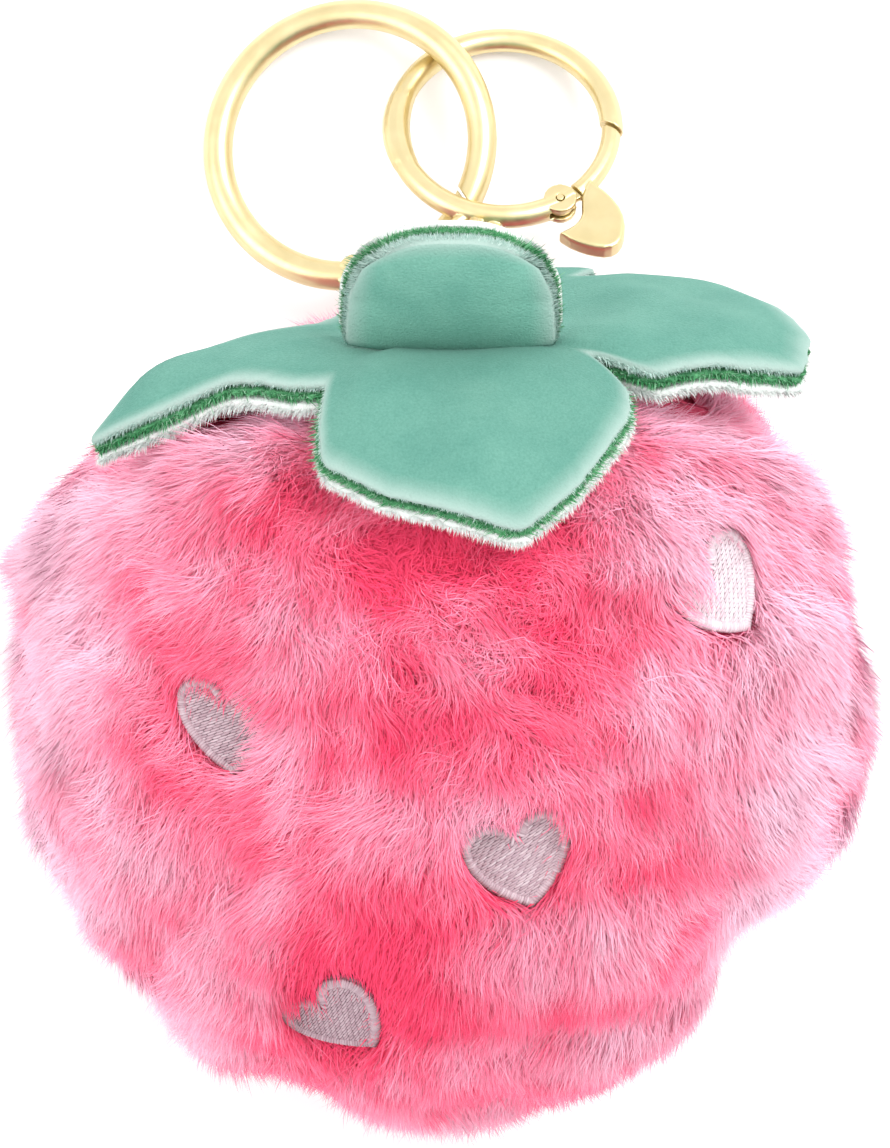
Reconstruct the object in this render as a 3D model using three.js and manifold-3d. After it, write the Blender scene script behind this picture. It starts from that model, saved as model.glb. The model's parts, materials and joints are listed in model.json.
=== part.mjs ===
// A furry strawberry keychain with a felt-like calyx, a round clasp and a spring-gate key ring.
// It lies on its back: X is the object's right, +Y points from the tip to the calyx, +Z is up.
// Millimetres. The origin is under the middle of the whole object's box, on the table.
import * as THREE from 'three';
import { mergeVertices } from 'three/addons/utils/BufferGeometryUtils.js';
import Module from 'manifold-3d';

const wasm = await Module();
wasm.setup();

const DEG = Math.PI / 180;
const GAP = 0.3; // clear distance kept between touching pieces

// Body: a squarish-shouldered ball, its axis pitched up at the calyx end, flat where it rests.
const PITCH = 20 * DEG;
const BODY_CENTRE = new THREE.Vector3(0, -14, 35);
const SIDE_RADIUS = 46.5;
const FRONT_RADIUS = 36.5;
const BACK_RADIUS = 37.5;
const TOP_LENGTH = 41.5;
const TIP_LENGTH = 48;
const DIMPLE = 3; // how far the calyx end is drawn in
const PILE = 9; // fur and its backing cloth
const GATHER_RADIUS = 3.8; // opening in the fur round the hanging loop
const LAT_STEPS = 16;
const LON_STEPS = 24;

// Hearts: latitude from the calyx, longitude from the front centre, and the turn of each.
const HEART_WIDTH = 12.3;
const HEART_THICKNESS = 1.6;
const HEART_DEPTH = 4.2; // how far the hearts' pockets reach into the pile
const HEARTS = [
  { name: 'heart_left', lat: 82.5, lon: -31.5, turn: 8 },
  { name: 'heart_right', lat: 65, lon: 46, turn: 23 },
  { name: 'heart_centre', lat: 94, lon: 10.5, turn: 14 },
  { name: 'heart_lower', lat: 122.5, lon: -17.5, turn: 36 },
];

// Calyx: a star cut in three layers. Each point of its outline has a direction in degrees from the
// front, a reach from the middle, and a lift of the leaf there.
const STAR = [
  [10.5, 34.6, 4], [19, 32, 4], [33.8, 27.5, 4], [40.7, 24.7, 4],
  [45.5, 17.5, 5], [49, 25, 6], [64, 30.6, 7], [76, 34.8, 7], [88, 34.5, 7], [106, 33, 7],
  [122, 31, 7], [136, 27, 6], [143, 20, 5], [150, 27, 6], [157, 27.5, 5], [167, 21, 2],
  [176, 14, 0], [190, 22, 0], [205, 19, 0], [225, 13, 0],
  [262, 14, 0.5], [279, 22, 1], [286, 28, 1], [288, 35, 1], [292, 39, 1], [297, 35, 1],
  [309, 25.8, 1.5], [322, 22.8, 2],
  [331, 20.5, 2.5], [336, 25.3, 3], [340.5, 29.6, 3.5], [351, 31.3, 4],
];
const STAR_LENGTH = 38; // where a leaf has its full lift
const CALYX_HOLE = 3.6;
const CALYX_RINGS = 6;
const LAYERS = [
  { name: 'underside', from: 0.8, to: 1.7, colour: 0xf2f0ea },
  { name: 'backing', from: 2.0, to: 2.6, colour: 0x4f9a63 },
  { name: 'velvet', from: 2.9, to: 3.9, colour: 0x82c8b4 },
];

// Stem tab: a rounded tongue that stands up in front of the loop.
const TAB_HALF_WIDTH = 11.4;
const TAB_HEIGHT = 17.6;
const TAB_BASE = new THREE.Vector3(0.6, 26.9, 58);
const TAB_FOOT_ANGLE = 66 * DEG; // steepness at the foot, above the horizontal
const TAB_TOP_ANGLE = 40 * DEG;
const TAB_CURL = 3.6; // how far its sides curve back

// Hardware.
const CLASP = {
  centre: new THREE.Vector3(6.8, 51.65, 7.9),
  radius: 12.45,
  tube: 1.35,
  tilt: 31 * DEG,
  roll: 0,
  pivot: -59 * DEG,
  tip: -2 * DEG,
};
const KEY_RING = {
  centre: new THREE.Vector3(-11.05, 49.8, 6.3),
  radius: 15.6,
  tube: 1.7,
  tilt: 10 * DEG,
  roll: 10 * DEG,
  pivot: -86 * DEG,
  tip: -28 * DEG,
};
const EYE = { angle: -103 * DEG, distance: 15.5, radius: 2.7, tube: 0.75 };
const JUMP_RING = { radius: 3.4, tube: 0.6, lean: 36 * DEG };
const LOOP = { cord: 1.0, halfGap: 2.2 };
const TUBE_SIDES = 12;

const GOLD = new THREE.MeshStandardMaterial({ color: 0xe6d49a, metalness: 1, roughness: 0.25 });
const STEEL = new THREE.MeshStandardMaterial({ color: 0xb9bbbd, metalness: 1, roughness: 0.35 });
const FUR = new THREE.MeshStandardMaterial({ color: 0xf0708c, roughness: 1 });
const FILLING = new THREE.MeshStandardMaterial({ color: 0xf4f4f2, roughness: 1 });
const SATIN = new THREE.MeshStandardMaterial({ color: 0xf0dfe4, roughness: 0.5 });
const CORD = new THREE.MeshStandardMaterial({ color: 0x8fcdbb, roughness: 0.7 });
const THREAD = new THREE.MeshStandardMaterial({ color: 0x6fb59f, roughness: 0.8 });

const keychain = new THREE.Group();

function addPiece(name, geometry, material, parent = keychain) {
  const mesh = new THREE.Mesh(geometry, material);
  mesh.name = name;
  parent.add(mesh);
  return mesh;
}

// ---------- solids ----------

// A closed mesh from points and triangles, turned to face out.
function closedGeometry(points, triangles) {
  let volume = 0;
  for (const [a, b, c] of triangles) {
    volume += points[a].dot(new THREE.Vector3().crossVectors(points[b], points[c]));
  }
  const faces = volume < 0 ? triangles.map(([a, b, c]) => [a, c, b]) : triangles;
  const geometry = new THREE.BufferGeometry();
  geometry.setAttribute('position', new THREE.Float32BufferAttribute(points.flatMap((p) => p.toArray()), 3));
  geometry.setIndex(faces.flat());
  geometry.computeVertexNormals();
  return geometry;
}

function toSolid(geometry) {
  const bare = geometry.clone();
  bare.deleteAttribute('normal');
  bare.deleteAttribute('uv');
  const merged = mergeVertices(bare, 1e-4);
  return new wasm.Manifold(new wasm.Mesh({
    numProp: 3,
    vertProperties: merged.attributes.position.array,
    triVerts: new Uint32Array(merged.index.array),
  }));
}

function toGeometry(solid) {
  const mesh = solid.getMesh();
  const geometry = new THREE.BufferGeometry();
  geometry.setAttribute('position', new THREE.BufferAttribute(mesh.vertProperties, 3));
  geometry.setIndex(new THREE.BufferAttribute(mesh.triVerts, 1));
  geometry.computeVertexNormals();
  return geometry;
}

// A geometry's solid after a turn about X and a move.
function placed(geometry, matrix) {
  return toSolid(geometry.clone().applyMatrix4(matrix));
}

function boxAt(sx, sy, sz, x, y, z) {
  return new THREE.BoxGeometry(sx, sy, sz).translate(x, y, z);
}

// A cylinder whose axis is Z.
function discAt(radius, height, x, y, sides = 16) {
  return new THREE.CylinderGeometry(radius, radius, height, sides).rotateX(Math.PI / 2).translate(x, y, 0);
}

// A closed tube along a curve, its radius given at each share of the length.
function tubeAlong(curve, radiusAt, steps, sides = TUBE_SIDES) {
  const frames = curve.computeFrenetFrames(steps, false);
  const points = [];
  const triangles = [];
  for (let i = 0; i <= steps; i += 1) {
    const centre = curve.getPointAt(i / steps);
    const radius = radiusAt(i / steps);
    for (let j = 0; j < sides; j += 1) {
      const angle = (2 * Math.PI * j) / sides;
      const out = frames.normals[i].clone().multiplyScalar(Math.cos(angle) * radius);
      out.addScaledVector(frames.binormals[i], Math.sin(angle) * radius);
      points.push(centre.clone().add(out));
    }
  }
  for (let i = 0; i < steps; i += 1) {
    for (let j = 0; j < sides; j += 1) {
      const a = i * sides + j;
      const b = i * sides + ((j + 1) % sides);
      triangles.push([a, b, b + sides], [a, b + sides, a + sides]);
    }
  }
  const last = steps * sides;
  for (let j = 1; j < sides - 1; j += 1) {
    triangles.push([0, j + 1, j], [last, last + j, last + j + 1]);
  }
  return closedGeometry(points, triangles);
}

// An arc of a circle round the origin in the XY plane.
class RingArc extends THREE.Curve {
  constructor(radius, from, to) {
    super();
    Object.assign(this, { radius, from, to });
  }

  getPoint(t, target = new THREE.Vector3()) {
    const angle = this.from + (this.to - this.from) * t;
    return target.set(this.radius * Math.cos(angle), this.radius * Math.sin(angle), 0);
  }
}

// The solid between two sheets of points, pointAt(row, column, side) with side 0 or 1.
function sheetSolid(rows, columns, wrap, pointAt) {
  const across = wrap ? columns : columns + 1;
  const points = [];
  for (let side = 0; side < 2; side += 1) {
    for (let i = 0; i <= rows; i += 1) {
      for (let j = 0; j < across; j += 1) points.push(pointAt(i, j, side));
    }
  }
  const id = (i, j, side) => (side * (rows + 1) + i) * across + (j % across);
  const triangles = [];
  const quad = (a, b, c, d) => triangles.push([a, b, c], [a, c, d]);
  for (let i = 0; i < rows; i += 1) {
    for (let j = 0; j < columns; j += 1) {
      quad(id(i, j, 1), id(i + 1, j, 1), id(i + 1, j + 1, 1), id(i, j + 1, 1));
      quad(id(i, j, 0), id(i, j + 1, 0), id(i + 1, j + 1, 0), id(i + 1, j, 0));
    }
  }
  for (let j = 0; j < columns; j += 1) {
    quad(id(0, j, 0), id(0, j, 1), id(0, j + 1, 1), id(0, j + 1, 0));
    quad(id(rows, j, 0), id(rows, j + 1, 0), id(rows, j + 1, 1), id(rows, j, 1));
  }
  if (!wrap) {
    for (let i = 0; i < rows; i += 1) {
      quad(id(i, 0, 0), id(i + 1, 0, 0), id(i + 1, 0, 1), id(i, 0, 1));
      quad(id(i, columns, 0), id(i, columns, 1), id(i + 1, columns, 1), id(i + 1, columns, 0));
    }
  }
  return closedGeometry(points, triangles);
}

// ---------- body ----------

// A point of the body's surface, inset from the tips of the fur. Latitude 0 is the calyx end.
function bodyPoint(lat, lon, inset = 0) {
  const squareness = 2.5 + 0.5 * Math.cos(lat);
  const along = Math.sign(Math.cos(lat)) * Math.abs(Math.cos(lat)) ** (2 / squareness);
  const around = Math.sin(lat) ** (2 / squareness);
  const length = along > 0 ? TOP_LENGTH : TIP_LENGTH;
  const depth = Math.cos(lon) > 0 ? FRONT_RADIUS : BACK_RADIUS;
  const drawnIn = along > 0 ? DIMPLE * Math.exp(-((around / 0.4) ** 2)) : 0;
  const x = (SIDE_RADIUS - inset) * around * Math.sin(lon);
  const front = (depth - inset) * around * Math.cos(lon);
  const up = (length - inset) * along - drawnIn;
  const y = up * Math.cos(PITCH) - front * Math.sin(PITCH);
  const z = up * Math.sin(PITCH) + front * Math.cos(PITCH);
  const point = new THREE.Vector3(x, y, z).add(BODY_CENTRE);
  point.z = Math.max(point.z, inset);
  return point;
}

// The body's frame: X across, Y along its axis to the calyx, Z to its front.
function bodyMatrix() {
  return new THREE.Matrix4().makeTranslation(BODY_CENTRE).multiply(new THREE.Matrix4().makeRotationX(PITCH));
}

function bodyHull(inset) {
  const points = [bodyPoint(0, 0, inset), bodyPoint(Math.PI, 0, inset)];
  const triangles = [];
  const id = (i, j) => 2 + (i - 1) * LON_STEPS + (j % LON_STEPS);
  for (let i = 1; i < LAT_STEPS; i += 1) {
    for (let j = 0; j < LON_STEPS; j += 1) {
      points.push(bodyPoint(Math.PI * (i / LAT_STEPS) ** 1.25, (2 * Math.PI * j) / LON_STEPS, inset));
    }
  }
  for (let j = 0; j < LON_STEPS; j += 1) {
    triangles.push([0, id(1, j), id(1, j + 1)], [1, id(LAT_STEPS - 1, j + 1), id(LAT_STEPS - 1, j)]);
    for (let i = 1; i < LAT_STEPS - 1; i += 1) {
      triangles.push([id(i, j), id(i + 1, j), id(i + 1, j + 1)], [id(i, j), id(i + 1, j + 1), id(i, j + 1)]);
    }
  }
  return closedGeometry(points, triangles);
}

// The frame on the fur at a heart: Z out of the body, Y towards the calyx and turned.
function heartMatrix({ lat, lon, turn }) {
  const step = 0.02;
  const origin = bodyPoint(lat * DEG, lon * DEG);
  const up = bodyPoint(lat * DEG - step, lon * DEG).sub(origin).normalize();
  const side = bodyPoint(lat * DEG, lon * DEG + step).sub(origin).normalize();
  const out = new THREE.Vector3().crossVectors(side, up).normalize();
  side.crossVectors(up, out);
  const frame = new THREE.Matrix4().makeBasis(side, up, out).setPosition(origin);
  return frame.multiply(new THREE.Matrix4().makeRotationZ(turn * DEG));
}

function heartShape(width) {
  const w = width / 2;
  const shape = new THREE.Shape();
  shape.moveTo(0, -0.95 * w);
  shape.bezierCurveTo(0.45 * w, -0.7 * w, w, -0.15 * w, w, 0.35 * w);
  shape.bezierCurveTo(w, 0.95 * w, 0.2 * w, 1.05 * w, 0, 0.5 * w);
  shape.bezierCurveTo(-0.2 * w, 1.05 * w, -w, 0.95 * w, -w, 0.35 * w);
  shape.bezierCurveTo(-w, -0.15 * w, -0.45 * w, -0.7 * w, 0, -0.95 * w);
  return shape;
}

function heartPrism(width, depth, bottom) {
  const options = { depth, bevelEnabled: false, curveSegments: 5 };
  return new THREE.ExtrudeGeometry(heartShape(width), options).translate(0, 0, bottom);
}

function addBody() {
  const fur = toSolid(bodyHull(0)).subtract(toSolid(bodyHull(PILE)));
  const opening = new THREE.CylinderGeometry(GATHER_RADIUS, GATHER_RADIUS, 3 * PILE, 16);
  let skin = fur.subtract(placed(opening.translate(0, TOP_LENGTH, 0), bodyMatrix()));
  for (const heart of HEARTS) {
    const pocket = heartPrism(HEART_WIDTH + 2 * GAP, HEART_DEPTH + 8, -HEART_DEPTH);
    skin = skin.subtract(placed(pocket, heartMatrix(heart)));
    const patch = heartPrism(HEART_WIDTH, HEART_THICKNESS, GAP - HEART_DEPTH);
    addPiece(heart.name, patch.applyMatrix4(heartMatrix(heart)), SATIN);
  }
  const size = 120;
  const reach = (size + GAP) / 2;
  for (const [name, x, z] of [['front_right', 1, 1], ['front_left', -1, 1], ['back_right', 1, -1], ['back_left', -1, -1]]) {
    const quarter = placed(boxAt(size, 2 * size, size, x * reach, 0, z * reach), bodyMatrix());
    addPiece(`fur_panel_${name}`, toGeometry(skin.intersect(quarter)), FUR);
  }
  addPiece('stuffing', bodyHull(PILE + GAP), FILLING);
}

// The thread that draws the fur together round the loop.
function addGatherThread() {
  const ring = new THREE.TorusGeometry(GATHER_RADIUS - 0.9, 0.4, 6, 16).rotateX(Math.PI / 2);
  ring.translate(0, TOP_LENGTH - DIMPLE - 2.5, 0).applyMatrix4(bodyMatrix());
  addPiece('gather_thread', ring, THREAD);
}

// ---------- calyx ----------

// The directions of the star's columns: each point of its outline and the middle of each side.
function starDirections() {
  return STAR.flatMap(([at], k) => {
    const next = k + 1 < STAR.length ? STAR[k + 1][0] : STAR[0][0] + 360;
    return [at, (at + next) / 2];
  });
}

// How far the star reaches in a direction, along the straight side there, and its lift.
function starAt(lon) {
  const after = STAR.findIndex(([at]) => at > lon % 360);
  const end = after < 0 ? 0 : after;
  const [a1, r1, lift1] = STAR[end];
  const [a0, r0, lift0] = STAR[(end + STAR.length - 1) % STAR.length];
  const full = ((a1 - a0 + 360) % 360) * DEG;
  const gone = ((lon - a0 + 720) % 360) * DEG;
  const reach = (r0 * r1 * Math.sin(full)) / (r0 * Math.sin(gone) + r1 * Math.sin(full - gone));
  return { reach, lift: lift0 + (lift1 - lift0) * (gone / full) };
}

// The point a given distance down the body from the calyx's centre, raised off the fur.
function drapedPoint(distance, lon, raise) {
  const step = 0.01;
  let lat = 0.002;
  let walked = 0;
  let point = bodyPoint(lat, lon * DEG);
  while (walked < distance) {
    const next = bodyPoint(lat + step, lon * DEG);
    const length = next.distanceTo(point);
    const share = Math.min(1, (distance - walked) / length);
    point.lerp(next, share);
    walked += length * share;
    lat += step * share;
  }
  const along = bodyPoint(lat + step, lon * DEG).sub(bodyPoint(lat, lon * DEG)).normalize();
  const around = bodyPoint(lat, lon * DEG + 0.01).sub(bodyPoint(lat, lon * DEG - 0.01)).normalize();
  const out = new THREE.Vector3().crossVectors(around, along).normalize();
  if (out.dot(point.clone().sub(BODY_CENTRE)) < 0) out.negate();
  return point.addScaledVector(out, raise);
}

function calyxLayer({ from, to }) {
  const directions = starDirections();
  return sheetSolid(CALYX_RINGS, directions.length, true, (i, j, side) => {
    const lon = directions[j % directions.length];
    const { reach, lift } = starAt(lon);
    const distance = CALYX_HOLE + (reach - CALYX_HOLE) * (i / CALYX_RINGS);
    const raise = lift * (distance / STAR_LENGTH) ** 2 + (side ? to : from);
    return drapedPoint(distance, lon, raise);
  });
}

// ---------- stem tab ----------

// The tab's middle line, a share of its height up, and its steepness there.
function tabLine(share) {
  const steps = 20;
  const point = TAB_BASE.clone();
  let angle = TAB_FOOT_ANGLE;
  for (let i = 0; i < steps; i += 1) {
    angle = TAB_FOOT_ANGLE + (TAB_TOP_ANGLE - TAB_FOOT_ANGLE) * share * ((i + 0.5) / steps);
    const length = (TAB_HEIGHT * share) / steps;
    point.y += Math.cos(angle) * length;
    point.z += Math.sin(angle) * length;
  }
  return { point, angle };
}

function tabPoint(across, up, raise) {
  const top = 1 - 0.4 * Math.abs(across) ** 2.6;
  const { point, angle } = tabLine(up * top);
  const width = TAB_HALF_WIDTH * (1 - 0.16 * up ** 3);
  const back = raise - TAB_CURL * across ** 2 * Math.min(1, 0.35 + 1.3 * up);
  point.x += width * across;
  point.y -= Math.sin(angle) * back;
  point.z += Math.cos(angle) * back;
  return point;
}

function tabLayer({ from, to }) {
  const rows = 8;
  const columns = 10;
  return sheetSolid(rows, columns, false, (i, j, side) => (
    tabPoint((2 * j) / columns - 1, i / rows, side ? to : from)));
}

function addLeaves() {
  for (const layer of LAYERS) {
    const material = new THREE.MeshStandardMaterial({ color: layer.colour, roughness: 1 });
    addPiece(`calyx_${layer.name}`, calyxLayer(layer), material);
    addPiece(`tab_${layer.name}`, tabLayer(layer), material);
  }
}

// ---------- hardware ----------

// A ring's frame: its own XY plane rolled about Y, then tilted so that its far side is lower.
function ringMatrix({ centre, tilt, roll }) {
  const turn = new THREE.Matrix4().makeRotationX(-tilt);
  turn.multiply(new THREE.Matrix4().makeRotationY(-roll));
  return turn.setPosition(centre);
}

// A ring with a sprung gate: the ring with a forked end, the gate with a tongue, and the pin.
function gatedRing({ radius, tube, pivot, tip }, gateTube) {
  const eared = tube + 0.55;
  const slot = 0.85 * tube;
  const holeRadius = 0.5;
  const px = radius * Math.cos(pivot);
  const py = radius * Math.sin(pivot);
  const reach = new THREE.Vector2(radius * Math.cos(tip) - px, radius * Math.sin(tip) - py);
  const span = reach.length();
  const overrun = 12 * DEG;
  const steps = 40;
  // A block beside the line across the gate's tip, on the pivot's side of it.
  const tipBlock = (edge, length) => boxAt(length, 9, 9, edge - length / 2, 0, 0)
    .rotateZ(reach.angle()).translate(px, py, 0);
  const body = toSolid(tubeAlong(new RingArc(radius, tip - overrun, pivot + 2 * Math.PI), () => tube, steps));
  const slotted = body.add(toSolid(discAt(eared, 1.9 * tube, px, py)))
    .subtract(toSolid(tipBlock(span + GAP / 2, 8)))
    .subtract(toSolid(discAt(eared + 0.4, slot, px, py)))
    .subtract(toSolid(discAt(holeRadius, 4 * tube, px, py, 12)));
  const start = pivot + (eared + 0.5) / radius;
  const arm = toSolid(tubeAlong(new RingArc(radius, start, tip + overrun), () => gateTube, 14));
  const armEnd = new THREE.Vector2(radius * Math.cos(start) - px, radius * Math.sin(start) - py);
  const link = armEnd.length() + 0.9;
  const tongue = boxAt(link, 1.5 * gateTube, slot - 0.4, link / 2, 0, 0)
    .rotateZ(armEnd.angle()).translate(px, py, 0);
  const gate = arm.add(toSolid(discAt(eared - 0.35, slot - 0.4, px, py)))
    .add(toSolid(tongue))
    .intersect(toSolid(tipBlock(span - GAP / 2, 60)).add(toSolid(discAt(eared, 4, px, py))))
    .subtract(toSolid(discAt(holeRadius, 4 * tube, px, py, 12)));
  const pin = discAt(holeRadius - 0.08, 2.1 * tube, px, py, 12);
  return { body: slotted, gate, pin, pivot: new THREE.Vector3(px, py, 0) };
}

// A spring of bent wire, from a channel in the ring's end to the heel of the gate.
function wireSpring({ radius, pivot }, heel) {
  const from = new RingArc(radius, pivot - heel, pivot - heel - 0.16);
  return tubeAlong(from, () => 0.2, 4, 6);
}

function addClasp() {
  const frame = ringMatrix(CLASP);
  const parts = gatedRing(CLASP, 1.15);
  const swell = new RingArc(CLASP.radius, 150 * DEG, 215 * DEG);
  const eye = new THREE.TorusGeometry(EYE.radius, EYE.tube, 8, 16)
    .translate(EYE.distance * Math.cos(EYE.angle), EYE.distance * Math.sin(EYE.angle), 0);
  const shank = boxAt(1.6, 1.4, 1.5, CLASP.radius + CLASP.tube + 0.1, 0, 0).rotateZ(EYE.angle);
  const body = parts.body.add(toSolid(eye))
    .add(toSolid(shank))
    .add(toSolid(tubeAlong(swell, (t) => 1.3 + 0.35 * Math.sin(Math.PI * t), 10)))
    .subtract(springChannel(CLASP));
  addPiece('clasp_body', toGeometry(body).applyMatrix4(frame), GOLD);
  addPiece('clasp_lever', toGeometry(parts.gate.add(toSolid(thumbPaddle()))).applyMatrix4(frame), GOLD);
  addPiece('clasp_lever_pin', parts.pin.applyMatrix4(frame), GOLD);
  addPiece('clasp_lever_spring', wireSpring(CLASP, 0.2).applyMatrix4(frame), STEEL);
}

// The thumb paddle outside the lever: a wedge that widens to a rounded end.
function thumbPaddle() {
  const outline = new THREE.Shape();
  outline.moveTo(9.3, -10.4);
  outline.lineTo(9.9, -8.6);
  outline.quadraticCurveTo(13.4, -11.2, 13.4, -14.2);
  outline.quadraticCurveTo(13.4, -17.2, 11.4, -17.2);
  outline.quadraticCurveTo(9, -17, 6.8, -15.4);
  outline.quadraticCurveTo(8.9, -14.6, 9.3, -12.6);
  outline.closePath();
  const options = {
    depth: 1.4, bevelEnabled: true, bevelThickness: 0.5, bevelSize: 0.4, bevelSegments: 2, curveSegments: 5,
  };
  return new THREE.ExtrudeGeometry(outline, options).translate(0, 0, -0.7);
}

// The channel behind the pin that holds the spring.
function springChannel({ radius, tube, pivot }) {
  const arc = new RingArc(radius, pivot - 0.02, pivot - 0.45);
  return toSolid(tubeAlong(arc, () => 0.42 * tube, 6, 8));
}

function addKeyRing() {
  const frame = ringMatrix(KEY_RING);
  const parts = gatedRing(KEY_RING, 1.6);
  const body = parts.body.subtract(springChannel(KEY_RING));
  addPiece('key_ring', toGeometry(body).applyMatrix4(frame), GOLD);
  addPiece('ring_gate', toGeometry(parts.gate).applyMatrix4(frame), GOLD);
  addPiece('ring_gate_pin', parts.pin.applyMatrix4(frame), GOLD);
  addPiece('ring_gate_spring', wireSpring(KEY_RING, 0.18).applyMatrix4(frame), STEEL);
}

// Where the jump ring passes through the clasp's eye, and where it hangs in the loop.
const eyeCentre = new THREE.Vector3(
  EYE.distance * Math.cos(EYE.angle),
  EYE.distance * Math.sin(EYE.angle),
  0,
).applyMatrix4(ringMatrix(CLASP));
const jumpDirection = new THREE.Vector3(0, -Math.sin(JUMP_RING.lean), Math.cos(JUMP_RING.lean));
const jumpCentre = eyeCentre.clone().addScaledVector(jumpDirection, JUMP_RING.radius);
const loopEnd = jumpCentre.clone()
  .addScaledVector(jumpDirection, JUMP_RING.radius - LOOP.cord - JUMP_RING.tube - 0.15);
const loopRoot = bodyPoint(0, 0);

function addJumpRing() {
  const ring = new THREE.TorusGeometry(JUMP_RING.radius, JUMP_RING.tube, 10, 24).rotateY(Math.PI / 2);
  addPiece('jump_ring', ring.translate(jumpCentre.x, jumpCentre.y, jumpCentre.z), GOLD);
}

// The cord loop: out of the calyx, over its rim and down behind it, round its end and back.
function addLoop() {
  const bend = new THREE.Vector3(loopEnd.x, loopEnd.y, loopEnd.z + LOOP.halfGap);
  const route = [
    loopRoot,
    new THREE.Vector3(0.5, loopRoot.y + 5.4, loopRoot.z + 0.4),
    new THREE.Vector3(1.6, loopRoot.y + 10.4, loopRoot.z - 5.8),
    new THREE.Vector3(2.8, bend.y + 0.6, loopRoot.z - 15),
    bend,
  ];
  const middle = new THREE.CatmullRomCurve3(route);
  const points = [];
  const strandSteps = 10;
  for (let i = 0; i <= strandSteps; i += 1) {
    const spread = LOOP.halfGap * (0.6 + 0.4 * Math.min(1, (3 * i) / strandSteps));
    points.push(middle.getPoint(i / strandSteps).add(new THREE.Vector3(spread, 0, 0)));
  }
  for (let turn = 1; turn < 6; turn += 1) {
    const angle = (Math.PI * turn) / 6;
    const round = new THREE.Vector3(Math.cos(angle), 0, -Math.sin(angle)).multiplyScalar(LOOP.halfGap);
    points.push(bend.clone().add(round));
  }
  for (let i = strandSteps; i >= 0; i -= 1) {
    const spread = LOOP.halfGap * (0.6 + 0.4 * Math.min(1, (3 * i) / strandSteps));
    points.push(middle.getPoint(i / strandSteps).add(new THREE.Vector3(-spread, 0, 0)));
  }
  const cord = new THREE.CatmullRomCurve3(points);
  addPiece('hanging_loop', tubeAlong(cord, () => LOOP.cord, 56, 8), CORD);
}

addBody();
addGatherThread();
addLeaves();
addClasp();
addKeyRing();
addJumpRing();
addLoop();

// The origin goes under the middle of the box round everything.
const box = new THREE.Box3().setFromObject(keychain, true);
keychain.position.set(-(box.min.x + box.max.x) / 2, -(box.min.y + box.max.y) / 2, -box.min.z);

export default keychain;
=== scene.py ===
# A furry strawberry keychain: what can be seen of it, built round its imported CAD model.
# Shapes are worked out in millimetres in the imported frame: X to the object's right, +Y from the
# tip to the calyx and the rings, +Z up out of its front. Blender gets them in metres.
import json
import math

import bpy
import numpy as np
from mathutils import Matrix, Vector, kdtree


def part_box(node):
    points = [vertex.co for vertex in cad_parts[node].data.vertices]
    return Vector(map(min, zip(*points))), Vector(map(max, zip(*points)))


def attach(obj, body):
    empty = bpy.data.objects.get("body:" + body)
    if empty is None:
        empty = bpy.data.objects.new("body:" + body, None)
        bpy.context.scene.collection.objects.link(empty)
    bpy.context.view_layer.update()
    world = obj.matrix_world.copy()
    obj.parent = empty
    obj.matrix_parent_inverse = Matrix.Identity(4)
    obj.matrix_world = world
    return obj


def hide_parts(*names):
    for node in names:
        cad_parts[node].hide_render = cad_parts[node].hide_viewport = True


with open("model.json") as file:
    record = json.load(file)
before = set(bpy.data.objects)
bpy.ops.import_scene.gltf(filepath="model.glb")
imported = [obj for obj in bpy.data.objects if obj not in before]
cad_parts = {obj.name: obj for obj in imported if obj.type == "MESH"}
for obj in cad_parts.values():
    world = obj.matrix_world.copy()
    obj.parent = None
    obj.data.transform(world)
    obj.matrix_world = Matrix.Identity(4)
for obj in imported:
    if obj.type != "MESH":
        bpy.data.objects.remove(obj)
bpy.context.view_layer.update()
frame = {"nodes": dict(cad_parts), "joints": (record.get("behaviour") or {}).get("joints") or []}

MM = 0.001
UP = np.array([0.0, 0.0, 1.0])
UV_MAP = "OFBake"

# The body, as in the CAD model: a squarish-shouldered ball, its axis pitched up at the calyx end.
PITCH = math.radians(20)
BODY_CENTRE = np.array([0.0, -17.003, 35.0])
SIDE_RADIUS = 46.5
FRONT_RADIUS = 36.5
BACK_RADIUS = 37.5
TOP_LENGTH = 41.5
TIP_LENGTH = 48.0
DIMPLE = 3.0
PILE = 9.0
BODY_AXES = np.array([
    [1, 0, 0],
    [0, math.cos(PITCH), math.sin(PITCH)],
    [0, -math.sin(PITCH), math.cos(PITCH)],
])

# The calyx and its three layers, as in the CAD model. Each point of its outline has a direction in
# degrees from the front, a reach from the middle, and a lift of the leaf there.
STAR = [
    (10.5, 34.6, 4), (19, 32, 4), (33.8, 27.5, 4), (40.7, 24.7, 4),
    (45.5, 17.5, 5), (49, 25, 6), (64, 30.6, 7), (76, 34.8, 7), (88, 34.5, 7), (106, 33, 7),
    (122, 31, 7), (136, 27, 6), (143, 20, 5), (150, 27, 6), (157, 27.5, 5), (167, 21, 2),
    (176, 14, 0), (190, 22, 0), (205, 19, 0), (225, 13, 0),
    (262, 14, 0.5), (279, 22, 1), (286, 28, 1), (288, 35, 1), (292, 39, 1), (297, 35, 1),
    (309, 25.8, 1.5), (322, 22.8, 2),
    (331, 20.5, 2.5), (336, 25.3, 3), (340.5, 29.6, 3.5), (351, 31.3, 4),
]
STAR_ENDS = np.array([80.0, 292.0, 10.5, 200.0])  # its right, left, front and back ends
STAR_LENGTH = 38.0
CALYX_HOLE = 3.6
LAYERS = {"underside": (0.8, 1.7), "backing": (2.0, 2.6), "velvet": (2.9, 3.9)}

# The stem tab, as in the CAD model.
TAB_HALF_WIDTH = 11.4
TAB_HEIGHT = 17.6
TAB_BASE = np.array([0.6, 23.897, 58.0])
TAB_FOOT_ANGLE = math.radians(66)
TAB_TOP_ANGLE = math.radians(40)
TAB_CURL = 3.6

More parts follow.
